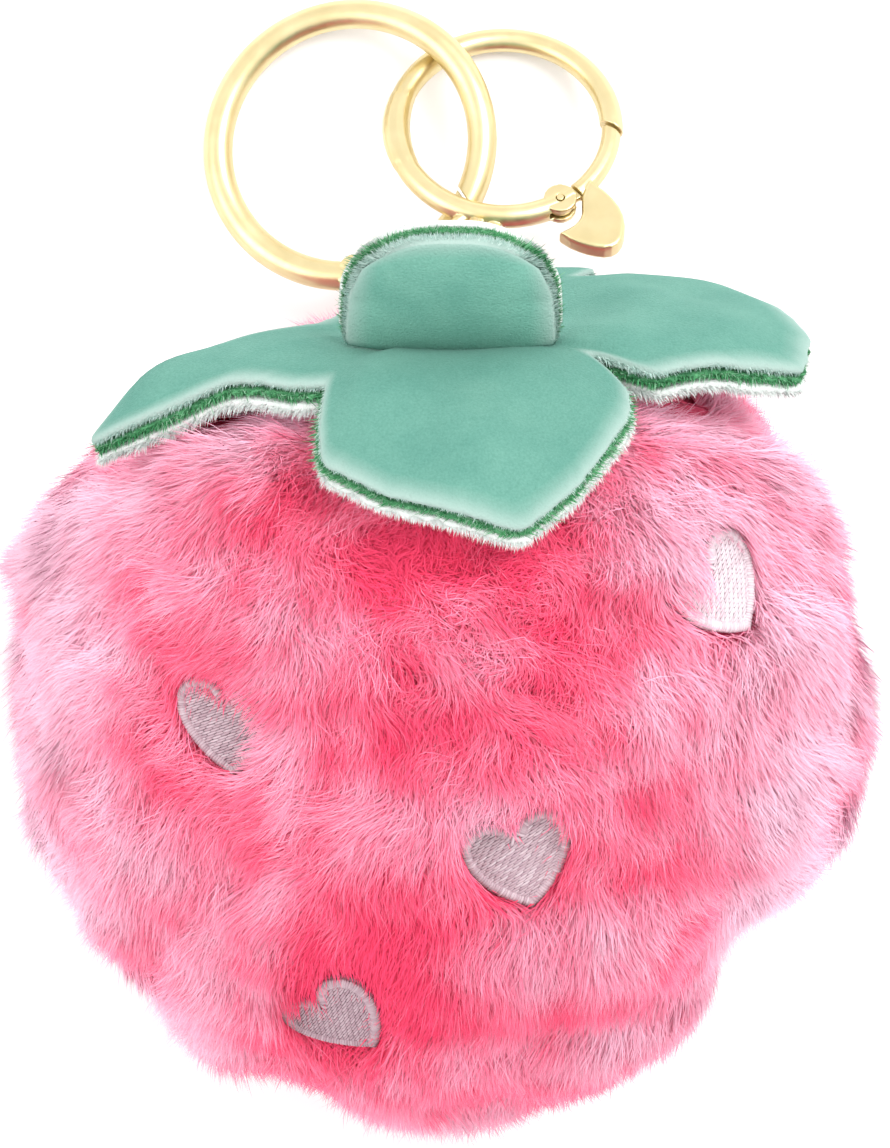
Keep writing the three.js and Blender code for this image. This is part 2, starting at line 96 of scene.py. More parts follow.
# The hearts, as in the CAD model, and how much of each the fur covers: the side that it comes
# from, in degrees from the heart's right, and how far from its middle it stays off the stitches.
# The tints are the least and most along the thread's colours, from dusty pink to white: painted
# light and shade on one white thread, whitest on the right heart in the light and dusty pink on
# those in shade.
HEART_WIDTH = 12.3
HEART_FACE = -2.3
UNDER_PATCH = -4.4  # the dense base of the pile is sunk to here below a heart
NEAR_HEART = 24
FAR_SIDE = -14  # what is deeper than this below a heart is on the body's far side
HEARTS = {
    "heart_left": {"lat": 82.5, "lon": -31.5, "turn": 8, "side": 10, "clear": 0.25, "tints": (0.1, 0.6)},
    "heart_right": {"lat": 65, "lon": 46, "turn": 23, "side": 165, "clear": 0.35, "tints": (0.7, 1.0)},
    "heart_centre": {"lat": 94, "lon": 10.5, "turn": 14, "side": 10, "clear": 1.0, "tints": (0.2, 0.7)},
    "heart_lower": {"lat": 122.5, "lon": -17.5, "turn": 36, "side": 70, "clear": 0.5, "tints": (0.0, 0.35)},
}

# The rings, as in the CAD model.
CLASP = {"centre": (6.8, 48.647, 7.9), "radius": 12.45, "tube": 1.35, "normal": (0, 0.515038, 0.857167)}
KEY_RING = {
    "centre": (-11.05, 46.797, 6.3),
    "radius": 15.6,
    "tube": 1.7,
    "normal": (-0.173648, 0.171010, 0.969846),
}

# The fur: separate strands that gather into tufts, and these into locks. Next come how far a
# strand's tip lies from its root, how deep the root is, how high the tips are under the leaves, how
# far in under the calyx strands are left out, and how deep the two faces of the dense base are.
STRANDS = 560_000
LOCKS = 420
TUFTS = 5200
LOCK_PULL = 0.3
TUFT_PULL = 0.18
UNDERCOAT_SHARE = 0.3
STRAND_SHARES = np.array([0.0, 0.35, 0.7, 1.0])
STRAND_WIDTHS = np.array([0.12, 0.12, 0.08])
STRAND_TRAVEL = 5.4
ROOT_DEPTH = 3.6
UNDER_LEAVES = -0.6
HIDDEN_UNDER_CALYX = 5.0
BACKING_TOP = 3.0
BACKING_BOTTOM = 6.6
HEART_PULL = 0.85
CROWN = np.array([4.0, 22.0, 62.0])  # the fur is combed away from here


# ---------- arithmetic ----------

def unit(v):
    return v / np.maximum(np.linalg.norm(v, axis=-1, keepdims=True), 1e-9)


def dot(a, b):
    return (a * b).sum(-1, keepdims=True)


def walked_along(line):
    """The distance walked to each point of a line, or of several. The first axis is the points."""
    steps = np.linalg.norm(np.diff(line, axis=0), axis=-1)
    return np.concatenate([np.zeros((1, *steps.shape[1:])), steps.cumsum(0)])


def points_at(distances, line):
    """The points of a line at these distances along it."""
    walked = walked_along(line)
    return np.stack([np.interp(distances, walked, axis) for axis in line.T], 1)


class Waves:
    """Smooth seeded noise of about unit size: sine waves in random directions, added up."""

    def __init__(self, seed, size, count=10):
        rng = np.random.default_rng(seed)
        directions = unit(rng.normal(size=(count, 3)))
        self.waves = directions * (2 * math.pi / size) * rng.uniform(0.6, 1.5, (count, 1))
        self.phases = rng.uniform(0, 2 * math.pi, count)

    def __call__(self, points):
        return np.sin(points @ self.waves.T + self.phases).sum(-1) / math.sqrt(len(self.phases) / 2)


# ---------- meshes ----------

def add_mesh(
    name, vertices, faces, materials,
    node=None, body="root", uv=None, face_material=None, normals=None,
):
    """A new piece from points in millimetres and an array of faces, all with as many corners. It
    rides on a body, takes its finish from a slot and may replace a CAD node."""
    mesh = bpy.data.meshes.new(name)
    faces = np.asarray(faces, np.int32)
    corners = faces.shape[1]
    mesh.vertices.add(len(vertices))
    mesh.vertices.foreach_set("co", (np.asarray(vertices) * MM).astype(np.float32).ravel())
    mesh.loops.add(faces.size)
    mesh.loops.foreach_set("vertex_index", faces.ravel())
    mesh.polygons.add(len(faces))
    mesh.polygons.foreach_set("loop_start", np.arange(0, faces.size, corners, dtype=np.int32))
    mesh.polygons.foreach_set("use_smooth", np.ones(len(faces), bool))
    for material in materials:
        mesh.materials.append(material)
    if face_material is not None:
        mesh.polygons.foreach_set("material_index", face_material.astype(np.int32))
    if uv is not None:
        layer = mesh.uv_layers.new(name=UV_MAP)
        layer.data.foreach_set("uv", uv[faces.ravel()].astype(np.float32).ravel())
    if normals is not None:
        layer = mesh.attributes.new("custom_normal", "FLOAT_VECTOR", "POINT")
        layer.data.foreach_set("vector", normals.astype(np.float32).ravel())
    mesh.update(calc_edges=True)
    mesh.validate()
    piece = bpy.data.objects.new(name, mesh)
    bpy.context.scene.collection.objects.link(piece)
    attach(piece, body)
    if node:
        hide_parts(node)
    return piece


def add_weights(piece, name, values):
    """A value from 0 to 1 at each point, which a material reads."""
    layer = piece.data.attributes.new(name, "FLOAT", "POINT")
    layer.data.foreach_set("value", values.ravel().astype(np.float32))


def grid_faces(rows, columns, wrap_rows=False, wrap_columns=False):
    """Quads of a grid of points, row by row."""
    last_row = rows if wrap_rows else rows - 1
    last_column = columns if wrap_columns else columns - 1
    i, j = (axis.ravel() for axis in np.meshgrid(np.arange(last_row), np.arange(last_column), indexing="ij"))
    below, right = (i + 1) % rows * columns, (j + 1) % columns
    return np.stack([i * columns + j, i * columns + right, below + right, below + j], 1)


def halved(quads):
    """Two triangles for each quad."""
    return np.concatenate([quads[:, [0, 1, 2]], quads[:, [0, 2, 3]]])


def rolled(along, up, roll):
    """The direction square to each strand and to the way up, and the same rolled about the strand."""
    across = unit(np.cross(along, up))
    return across, np.cos(roll) * across + np.sin(roll) * np.cross(across, along)


def ribbon_mesh(paths, sides, widths, tint, ups, spread=0.004):
    """Tapered flat strands. paths is (points along, strands, 3), sides the way each is wide and ups
    the way that it is shaded as facing. The map's U is the strand's tint and its V the place from
    root to tip."""
    steps, count = paths.shape[:2]
    pairs = steps - 1
    per = 2 * pairs + 1

    def by_strand(left, right, tips):
        both = np.stack([left, right], 2).transpose(1, 0, 2, 3).reshape(count, 2 * pairs, -1)
        return np.concatenate([both, tips[:, None]], 1).reshape(count * per, -1)

    offset = sides[:-1] * (widths[:, None, None] / 2)
    vertices = by_strand(paths[:-1] - offset, paths[:-1] + offset, paths[-1])
    normals = by_strand(ups[:-1], ups[:-1], ups[-1])
    pattern = []
    for a in range(0, 2 * pairs - 2, 2):
        pattern += [[a, a + 1, a + 3], [a, a + 3, a + 2]]
    pattern.append([per - 3, per - 2, per - 1])
    faces = (np.arange(count)[:, None, None] * per + np.array(pattern)).reshape(-1, 3)
    u = np.clip(tint, 2 * spread, 1 - 2 * spread)
    v = np.linspace(0.01, 0.99, steps)[:, None]
    place = np.stack(np.broadcast_arrays(u, v), -1)
    aside = np.array([spread, 0])
    return vertices, faces, by_strand(place[:-1] - aside, place[:-1] + aside, place[-1]), normals


# ---------- the body's surface ----------

def body_point(lat, lon, inset=0.0):
    """A point of the body's surface, as in the CAD model. Latitude 0 is the calyx end."""
    lat, lon = np.broadcast_arrays(lat, lon)
    squareness = 2.5 + 0.5 * np.cos(lat)
    along = np.sign(np.cos(lat)) * np.abs(np.cos(lat)) ** (2 / squareness)
    around = np.abs(np.sin(lat)) ** (2 / squareness)
    length = np.where(along > 0, TOP_LENGTH, TIP_LENGTH)
    depth = np.where(np.cos(lon) > 0, FRONT_RADIUS, BACK_RADIUS)
    drawn_in = np.where(along > 0, DIMPLE * np.exp(-((around / 0.4) ** 2)), 0)
    side = (SIDE_RADIUS - inset) * around * np.sin(lon)
    up = (length - inset) * along - drawn_in
    front = (depth - inset) * around * np.cos(lon)
    point = np.stack([side, up, front], -1) @ BODY_AXES + BODY_CENTRE
    point[..., 2] = np.maximum(point[..., 2], inset)
    return point


def body_frame(lat, lon, step=0.01):
    """The surface's own directions at a place: towards the tip, round to the right, and out."""
    down = unit(body_point(lat + step, lon) - body_point(lat - step, lon))
    right = unit(body_point(lat, lon + step) - body_point(lat, lon - step))
    return down, right, unit(np.cross(down, right))


def on_surface(points):
    """The points moved along rays from the body's middle onto its surface: the new points, the way
    out there, and their latitude and longitude."""
    ray = unit((points - BODY_CENTRE) @ BODY_AXES.T)
    depth = np.where(ray[..., 2] > 0, FRONT_RADIUS, BACK_RADIUS)
    length = np.where(ray[..., 1] > 0, TOP_LENGTH, TIP_LENGTH)
    around = np.hypot(ray[..., 0] / SIDE_RADIUS, ray[..., 2] / depth)
    along = np.abs(ray[..., 1]) / length
    squareness = np.full(around.shape, 2.5)
    for _ in range(4):
        reach = (around ** squareness + along ** squareness) ** (-1 / squareness)
        cos_lat = np.sign(ray[..., 1]) * np.minimum(1, reach * along) ** (squareness / 2)
        squareness = 2.5 + 0.5 * cos_lat
    here = ray * reach[..., None]
    round_part = np.maximum(reach * around, 1e-6) ** (squareness - 2)
    out = np.stack([
        round_part * here[..., 0] / SIDE_RADIUS ** 2,
        np.sign(here[..., 1]) * (reach * along) ** (squareness - 1) / length,
        round_part * here[..., 2] / depth ** 2,
    ], -1)
    lon = np.arctan2(here[..., 0] / SIDE_RADIUS, here[..., 2] / depth)
    return here @ BODY_AXES + BODY_CENTRE, unit(out @ BODY_AXES), np.arccos(cos_lat), lon


def surface_samples(count, seed):
    """Evenly scattered places on the body."""
    rng = np.random.default_rng(seed)
    rows, columns = 120, 180
    lat = np.linspace(0.02, math.pi - 0.001, rows)[:, None]
    lon = np.linspace(-math.pi, math.pi, columns)
    grid = body_point(lat, lon).reshape(-1, 3)
    quads = grid_faces(rows, columns)
    a, b, c, d = (grid[corner] for corner in quads.T)
    areas = np.linalg.norm(np.cross(c - a, d - b), axis=1)
    chosen = rng.choice(len(quads), count, p=areas / areas.sum())
    s, t = rng.random((2, count, 1))
    a, b, c, d = (corner[chosen] for corner in (a, b, c, d))
    return on_surface(a * (1 - s) * (1 - t) + b * (1 - s) * t + d * s * (1 - t) + c * s * t)[0]


# ---------- the calyx's shape ----------

def make_star():
    """The star's reach and lift in every direction, its corners a little rounded."""
    at = np.arange(0, 360, 0.5)
    corners = np.array(STAR)
    after = np.searchsorted(corners[:, 0], at, side="right") % len(corners)
    a0, r0, lift0 = corners[after - 1].T
    a1, r1, lift1 = corners[after].T
    full, gone = np.radians((a1 - a0) % 360), np.radians((at - a0) % 360)
    reach = r0 * r1 * np.sin(full) / (r0 * np.sin(gone) + r1 * np.sin(full - gone))
    lift = lift0 + (lift1 - lift0) * gone / full
    return at, blurred(reach, 2), blurred(lift, 12)


def blurred(values, size):
    """Values round a closed loop, smoothed over about size of them."""
    reach = 3 * size
    weights = np.exp(-0.5 * (np.arange(-reach, reach + 1) / size) ** 2)
    extended = np.concatenate([values[-reach:], values, values[:reach]])
    return np.convolve(extended, weights / weights.sum(), "valid")


star = make_star()


def star_at(lon_degrees):
    """How far the star reaches each way, and its leaf's lift there."""
    at, reach, lift = star
    return np.interp(lon_degrees, at, reach, period=360), np.interp(lon_degrees, at, lift, period=360)


LATITUDES = np.linspace(0.002, 2.2, 500)


def walked_lat(distance, lon):
    """The latitude at each distance down the body from the calyx's middle. The last axis of both
    arrays is the longitude."""
    walked = walked_along(body_point(LATITUDES[:, None], lon))
    return np.stack([np.interp(*pair, LATITUDES) for pair in zip(distance.T, walked.T, strict=True)], 1)


def draped(distance, lon_degrees, raised):
    """Points on the body at each distance (rows, columns) down from the calyx's middle, raised."""
    lon = np.radians(lon_degrees)
    lat = walked_lat(distance, lon)
    down, _, out = body_frame(lat, lon)
    return body_point(lat, lon) + out * raised[..., None], down, out


# ---------- fur ----------

slow_swirl = Waves(11, 34)
fine_swirl = Waves(12, 9)
lumps = Waves(13, 21)
small_lumps = Waves(14, 8)
tint_waves = Waves(15, 26)
fine_tint = Waves(16, 7)

# Below the front leaf the pile is short and curly.
CURLS_AT = np.array([4.0, -6.0, 70.0])
CURLS_RADIUS = 15.0

# Places on the outline where the body swells or draws in: where, how far round it, how much.
SWELLS = [
    ((39, -47, 24), (11, 11, 32), -8.5),
    ((43, 8, 36), 12, -2.8),
    ((-28, 21, 38), 12, -3.0),
    ((-13, 25, 42), 9, -3.5),
    ((48, -22, 30), 14, 1.4),
    ((22, -60, 20), 8, -1.8),
    ((-49, -20, 30), 18, 0.6),
    ((-47, 2, 36), 9, 1.4),
    ((-44, -41, 24), (7, 7, 20), -3.0),
    ((-32, -54, 20), (9, 9, 20), -1.8),
    ((-16, -63, 18), 8, 2.4),
    ((8, -66, 18), 11, 2.4),
]

# Places where the fur is paler, or a deeper pink, partly its own patches and partly painted light
# and shade: paler towards the right, where the light comes from, darker on the left and towards the
# tip. Where, how far round it, how much.
TINT_AND_PAINTED_LIGHT_PLACES = [
    ((24, -5, 56), (12, 14, 40), 0.24),
    ((30, -36, 30), (8, 16, 40), 0.16),
    ((-26, -1, 50), (7, 14, 40), -0.26),
    ((2, -39, 46), (24, 16, 40), -0.33),
    ((-20, -48, 34), (9, 9, 40), -0.28),
    ((17, -38, 44), (8, 12, 40), -0.20),
    ((0, -60, 24), (26, 10, 40), -0.22),
]


def curliness(points):
    """1 where the pile is curliest, falling to 0 all round."""
    return np.exp(-(((points - CURLS_AT) ** 2).sum(-1)) / CURLS_RADIUS ** 2)


def added_up(places, points):
    """The amounts of soft round places, added up at each point."""
    total = np.zeros(points.shape[:-1])
    for centre, radius, amount in places:
        total += amount * np.exp(-(((points - np.array(centre)) / radius) ** 2).sum(-1))
    return total


def swell(points):
    """How far the body stands off its mean surface."""
    return added_up(SWELLS, points)


def fur_height(points):
    """How far the tips of the fur stand off the body."""
    return 0.3 + 1.2 * lumps(points) + 0.5 * small_lumps(points) - 1.4 * curliness(points)


def pull_to_hearts(points):
    """The fur beside a heart leans in towards it."""
    pull = np.zeros(points.shape)
    for heart in HEARTS.values():
        origin, rows = heart_frame(heart)
        local = (points - origin) @ rows.T
        share = heart_share(local[..., 0], local[..., 1])
        strength = HEART_PULL * np.exp(-(((share - 1) / 0.3) ** 2)) * (np.abs(local[..., 2]) < 8)
        pull += unit(origin - points) * strength[..., None]
    return pull


def flow(points, out, bend):
    """The way the fur lies: away from the crown, turned by swirls and by each strand's own bend.
    Under 1 long where it stands up beside a heart."""
    away = points - CROWN
    away = unit(away - dot(away, out) * out)
    side = np.cross(out, away)
    curl = curliness(points)
    turn = bend * (1 + 1.2 * curl) + 0.25 * slow_swirl(points) + (0.22 + 0.7 * curl) * fine_swirl(points)
    lean = np.cos(turn)[..., None] * away + np.sin(turn)[..., None] * side
    pull = pull_to_hearts(points)
    lean = lean + pull - dot(pull, out) * out
    return lean / np.maximum(1, np.linalg.norm(lean, axis=-1, keepdims=True))


def combed_paths(roots, travel, tip_height, bend):
    """Strands from their roots in the backing out to their tips, laid along the flow. Returns the
    points (along, strand, 3) and the way out at each."""
    points, out, _, _ = on_surface(roots)
    paths, outs = [], []
    before = 0.0
    for share in STRAND_SHARES:
        if share > before:
            step = flow(points, out, bend) * (travel * (share - before))[:, None]
            points, out, _, _ = on_surface(points + step)
            before = share
        height = swell(points) - ROOT_DEPTH + (ROOT_DEPTH + tip_height) * share ** 0.85
        paths.append(points + out * height[:, None])
        outs.append(out)
    return np.stack(paths), np.stack(outs)


def nearest_of(points, centres):
    """Which centre each point is nearest to."""
    tree = kdtree.KDTree(len(centres))
    for index, centre in enumerate(centres):
        tree.insert(centre, index)
    tree.balance()
    return np.fromiter((tree.find(point)[1] for point in points), np.int64, len(points))


def gathered(paths, guides, owner, strength):
    """Strands drawn towards the guide that each belongs to, most at their tips."""
    pull = (strength * STRAND_SHARES ** 1.3)[:, None, None]
    return paths + pull * (guides[:, owner] - paths)


def calyx_gap(points):
    """How far outside the calyx's edge a place on the body is; negative under the leaves."""
    _, _, lat, lon = on_surface(points)
    rows = np.linspace(0.002, math.pi, 200)
    columns = np.linspace(-math.pi, math.pi, 121)
    walked = walked_along(body_point(rows[:, None], columns))
    row = np.clip((lat - rows[0]) / (rows[1] - rows[0]), 0, len(rows) - 1.001)
    column = np.clip((lon + math.pi) / (2 * math.pi) * 120, 0, len(columns) - 1.001)
    i, j = row.astype(int), column.astype(int)
    s, t = row - i, column - j
    distance = (
        walked[i, j] * (1 - s) * (1 - t) + walked[i + 1, j] * s * (1 - t)
        + walked[i, j + 1] * (1 - s) * t + walked[i + 1, j + 1] * s * t
    )
    return distance - star_at(np.degrees(lon))[0]


def heart_frame(heart):
    """The heart's middle on the fur's surface and its directions: right, up and out."""
    lat, lon, turn = (math.radians(heart[key]) for key in ("lat", "lon", "turn"))
    step = 0.02
    origin = body_point(np.array(lat), np.array(lon))
    up = unit(body_point(np.array(lat - step), np.array(lon)) - origin)
    right = unit(body_point(np.array(lat), np.array(lon + step)) - origin)
    out = unit(np.cross(right, up))
    right = np.cross(up, out)
    rows = np.array([
        right * math.cos(turn) + up * math.sin(turn),
        up * math.cos(turn) - right * math.sin(turn),
        out,
    ])
    return origin, rows


def heart_outline(width, per_side=24):
    """Points round a heart, as in the CAD model."""
    w = width / 2
    curves = [
        [(0, -0.95), (0.45, -0.7), (1, -0.15), (1, 0.35)],
        [(1, 0.35), (1, 0.95), (0.2, 1.05), (0, 0.5)],
        [(0, 0.5), (-0.2, 1.05), (-1, 0.95), (-1, 0.35)],
        [(-1, 0.35), (-1, -0.15), (-0.45, -0.7), (0, -0.95)],
    ]
    t = np.linspace(0, 1, per_side, endpoint=False)[:, None]
    parts = []
    for curve in curves:
        a, b, c, d = np.array(curve) * w
        parts.append(a * (1 - t) ** 3 + 3 * b * t * (1 - t) ** 2 + 3 * c * t * t * (1 - t) + d * t ** 3)
    return np.concatenate(parts)


def heart_share(x, y, width=HEART_WIDTH):
    """How far out in a heart a place is: 0 at its middle and 1 on its outline."""
    outline = heart_outline(width, 60)
    angles = np.arctan2(outline[:, 1], outline[:, 0])
    order = angles.argsort()
    radii = np.hypot(outline[:, 0], outline[:, 1])[order]
    return np.hypot(x, y) / np.interp(np.arctan2(y, x), angles[order], radii, period=2 * math.pi)


def trimmed_at_hearts(paths):
    """Strands cut short where they would cross the open part of a heart, seen from the front. Those
    rooted in a heart go: the mask returned says which stay."""
    steps, count = paths.shape[:2]
    stays = np.ones(count, bool)
    cut = np.ones(count)
    rng = np.random.default_rng(21)
    jitter = rng.uniform(-0.3, 0.3, count)
    reach = rng.uniform(0.94, 1.10, count)
    for heart in HEARTS.values():
        origin, rows = heart_frame(heart)
        near = np.linalg.norm(paths[0] - origin, axis=1) < NEAR_HEART
        local = (paths[:, near] - origin) @ rows.T
        above = local[..., 2] > HEART_FACE
        root = local[0]
        stays[near] &= (heart_share(root[:, 0], root[:, 1]) > 1.02) | (root[:, 2] < FAR_SIDE)
        over = (local[..., 2:] - HEART_FACE) / rows[2, 2]
        local = (paths[:, near] - origin - over * UP) @ rows.T
        share = heart_share(local[..., 0], local[..., 1])
        side = math.radians(heart["side"])
        covered = (local[..., 0] * math.cos(side) + local[..., 1] * math.sin(side)) / (HEART_WIDTH / 2)
        barred = (share < reach[near]) & above & (covered < heart["clear"] + jitter[near])
        first = barred.argmax(0)
        before = STRAND_SHARES[np.maximum(first - 1, 0)]
        halfway = before + 0.5 * (STRAND_SHARES[first] - before)
        cut[near] = np.minimum(cut[near], np.where(barred.any(0), halfway, 1.0))
    stays &= cut > 0.2
    shorter = cut < 1
    wanted = STRAND_SHARES[:, None] * cut[None, shorter]
    position = np.stack([np.interp(shares, STRAND_SHARES, np.arange(steps)) for shares in wanted.T], 1)
    low = np.minimum(position.astype(int), steps - 2)
    t = (position - low)[..., None]
    strand = np.nonzero(shorter)[0][None]
    paths[:, shorter] = paths[low, strand] * (1 - t) + paths[low + 1, strand] * t
    return paths, stays


# The fabric's panels: which side and face of the body, and the longitude in degrees where each starts.
PANELS = [
    ("front_right", 1, 1, 0),
    ("front_left", -1, 1, 270),
    ("back_right", 1, -1, 90),
    ("back_left", -1, -1, 180),
]


def scattered_strands(rng, count, seed, bend, travel_spread, height_spread):
    """Strands rooted all over the body, pressed flat under the calyx: their roots, their points, the
    ways out, and how far outside the calyx's edge they grow."""
    roots = surface_samples(count, seed)
    uneven = 1 + travel_spread * rng.normal(size=count).clip(-2, 2)
    travel = STRAND_TRAVEL * (1 - 0.35 * curliness(roots)) * uneven
    tip = fur_height(roots) + height_spread * rng.normal(size=count).clip(-2, 2)
    gap = calyx_gap(roots)
    tip = np.where(gap < 1.0, np.minimum(tip, UNDER_LEAVES), tip)
    paths, outs = combed_paths(roots, travel, tip, bend * rng.normal(size=count))
    return roots, paths, outs, gap


def fur_tint(rng, places, tuft, lock, undercoat):
    """How pale each strand is: it goes with its tuft and lock and comes in patches. The rest is painted
    light and shade: paler on the lumps and darker in the hollows, paler towards the body's outline as
    a painted rim light, darker below the front leaf and on the sunk undercoat, and the listed places."""
    tuft_tint = rng.normal(size=TUFTS)[tuft]
    lock_tint = rng.normal(size=LOCKS)[lock]
    # Painted rim light: paler towards the body's outline.
    edge = np.clip((np.hypot(places[:, 0] / 47, (places[:, 1] + 17) / 62) - 0.5) / 0.45, 0, 1)
    # Painted shade: the fur's height makes the hollows darker and the lumps paler, the curliness term darkens
    # the fur below the front leaf, and the undercoat term darkens the strands sunk deeper.
    return (
        0.40 + 0.05 * tuft_tint + 0.05 * lock_tint + 0.08 * rng.normal(size=len(places))
        + 0.07 * tint_waves(places) + 0.04 * fine_tint(places) + 0.12 * fur_height(places)
        + 0.42 * edge + added_up(TINT_AND_PAINTED_LIGHT_PLACES, places) - 0.16 * curliness(places) - 0.12 * undercoat
    )


def make_fur():
    """The strands of each fabric panel, in four pieces from the calyx to the tip."""
    rng = np.random.default_rng(5)
    lock_roots, locks, _, _ = scattered_strands(rng, LOCKS, 31, 0.35, 0.2, 0.7)
    tuft_roots, tufts, _, _ = scattered_strands(rng, TUFTS, 32, 0.40, 0.25, 0.5)
    roots, paths, outs, gap = scattered_strands(rng, STRANDS, 33, 0.45, 0.25, 0.6)
    lock_of_tuft = nearest_of(tuft_roots, lock_roots)
    tuft_of_strand = nearest_of(roots, tuft_roots)
    tufts = gathered(tufts, locks, lock_of_tuft, LOCK_PULL)
    undercoat = rng.random(STRANDS) < UNDERCOAT_SHARE
    paths = gathered(paths, tufts, tuft_of_strand, TUFT_PULL)
    sink = np.where(undercoat, rng.uniform(0.3, 1.8, STRANDS), rng.uniform(-0.4, 0.5, STRANDS))
    paths -= outs * (STRAND_SHARES[:, None] * sink)[..., None]

    paths, stays = trimmed_at_hearts(paths)
    stays &= gap > -HIDDEN_UNDER_CALYX
    floor_height = 0.14 + 0.5 * rng.random(STRANDS)
    paths[..., 2] = np.maximum(paths[..., 2], floor_height)

    along = unit(np.gradient(paths, axis=0))
    roll = rng.uniform(-0.7, 0.7, STRANDS)[:, None]
    across, sides = rolled(along, outs, roll)
    # Light that falls on the pile spreads in it, so its sides are shaded as if they faced up more.
    lit = 0.5 * np.clip(outs[..., 2:] + 0.4, 0, 1) * UP
    ups = unit(outs + 0.5 * across * roll + 0.35 * along + lit)
    tint = fur_tint(rng, paths[2], tuft_of_strand, lock_of_tuft[tuft_of_strand], undercoat)

    in_body = (paths[0] - BODY_CENTRE) @ BODY_AXES.T
    for name, side, front, _ in PANELS:
        in_panel = stays & (in_body[:, 0] * side >= 0) & (in_body[:, 2] * front >= 0)
        members = np.nonzero(in_panel)[0]
        members = members[in_body[members, 1].argsort()[::-1]]
        for part, chosen in zip(("top", "upper", "lower", "tip"), np.array_split(members, 4), strict=True):
            vertices, faces, uv, normals = ribbon_mesh(
                paths[:, chosen], sides[:, chosen], STRAND_WIDTHS, tint[chosen], ups[:, chosen],
            )
            add_mesh(
                f"fur_{name}_{part}", vertices, faces, [fur_material], f"fur_panel_{name}",
                uv=uv, normals=normals,
            )


def make_pile_backing():
    """The dense base of the pile under the strands, one closed form for each of the four panels."""
    rows, columns = 120, 72
    lat = np.linspace(0.12, math.pi - 0.02, rows)[:, None]
    for name, _, _, start in PANELS:
        lon = np.radians(np.linspace(start + 0.4, start + 89.6, columns))
        _, _, out = body_frame(lat, lon)
        top = body_point(lat, lon, BACKING_TOP)
        top = top + out * (0.35 * small_lumps(top) - 0.3 + swell(top))[..., None]
        bottom = body_point(lat, lon, BACKING_BOTTOM)
        bottom = bottom + out * np.minimum(0, swell(bottom))[..., None]
        hearts_clear(top)
        loop = np.concatenate([top, bottom[::-1]])
        above = np.arange(rows - 1) * columns
        below = (2 * rows - 1) * columns - above
        first = np.stack([below, below - columns, above + columns, above], 1)
        last = first[:, ::-1] + columns - 1
        faces = np.concatenate([grid_faces(2 * rows, columns, wrap_rows=True), first, last])
        piece = add_mesh(
            f"pile_{name}", loop.reshape(-1, 3), faces, [pile_material], f"fur_panel_{name}",
        )


def hearts_clear(points):
    """Sinks the points that lie under a heart or beside it, below its patch."""
    for heart in HEARTS.values():
        origin, rows = heart_frame(heart)
        local = (points - origin) @ rows.T
        share = heart_share(local[..., 0], local[..., 1])
        deep = (share < 1.06) & (local[..., 2] > FAR_SIDE)
        sunk = np.where(deep, np.minimum(local[..., 2], UNDER_PATCH), local[..., 2])
        points += (sunk - local[..., 2])[..., None] * rows[2]


# ---------- materials ----------

def new_material(name, roughness, **constants):
    """A material and its Principled node. Constants are that node's sockets, with _ for a space."""
    material = bpy.data.materials.new(name)
    material.use_nodes = True
    principled = material.node_tree.nodes["Principled BSDF"]
    principled.inputs["Roughness"].default_value = roughness
    for socket, value in constants.items():
        principled.inputs[socket.replace("_", " ")].default_value = value
    return material, principled


def add_node(material, kind, inputs=(), **settings):
    """A shader node. Its inputs are given as values or as other nodes' outputs."""
    node = material.node_tree.nodes.new(kind)
    for key, value in settings.items():
        setattr(node, key, value)
    for socket, value in dict(inputs).items():
        if isinstance(value, bpy.types.NodeSocket):
            material.node_tree.links.new(value, node.inputs[socket])
        else:
            node.inputs[socket].default_value = value
    return node


def ramp(material, factor, stops):
    """A colour ramp. stops are (place, colour)."""
    node = add_node(material, "ShaderNodeValToRGB", {"Fac": factor})
    while len(node.color_ramp.elements) < len(stops):
        node.color_ramp.elements.new(0.5)
    for element, (place, colour) in zip(node.color_ramp.elements, stops, strict=True):
        element.position = place
        element.color = (*colour, 1)
    return node.outputs["Color"]


def noise(material, size, detail=2.0, roughness=0.5):
    """Noise whose features are about size millimetres across."""
    place = add_node(material, "ShaderNodeTexCoord").outputs["Object"]
    node = add_node(
        material, "ShaderNodeTexNoise",
        {"Vector": place, "Scale": 1 / (size * MM), "Detail": detail, "Roughness": roughness},
    )
    return node.outputs["Fac"]


def mixed(material, factor, a, b, blend="MIX"):
    """Two colours mixed. The factor and the colours are values or other nodes' outputs."""
    node = add_node(material, "ShaderNodeMix", data_type="RGBA", blend_type=blend)
    for socket, value in ((0, factor), (6, a), (7, b)):
        if isinstance(value, bpy.types.NodeSocket):
            material.node_tree.links.new(value, node.inputs[socket])
        else:
            node.inputs[socket].default_value = value if socket == 0 else (*value, 1)
    return node.outputs[2]


def link(material, output, socket):
    material.node_tree.links.new(output, socket)


def add_bump(material, principled, height, distance, strength=1.0):
    """Bump from a height of 0 to 1 that stands for distance millimetres."""
    node = add_node(
        material, "ShaderNodeBump", {"Height": height, "Distance": distance * MM, "Strength": strength},
    )
    link(material, node.outputs["Normal"], principled.inputs["Normal"])


def strand_material(name, tints, roots, roughness=0.9, specular=0.1):
    """For ribbons and stitches: the map's U picks the tint, and its V a painted shade from root to tip,
    darker where a strand goes into the pile or a stitch into the cloth.
    """
    material, principled = new_material(name, roughness, Specular_IOR_Level=specular)
    place = add_node(material, "ShaderNodeUVMap", uv_map=UV_MAP).outputs["UV"]
    parts = add_node(material, "ShaderNodeSeparateXYZ", {"Vector": place})
    colour = ramp(material, parts.outputs["X"], tints)
    painted_shade_along = ramp(material, parts.outputs["Y"], roots)
    link(material, mixed(material, 1.0, colour, painted_shade_along, "MULTIPLY"), principled.inputs["Base Color"])
    return material


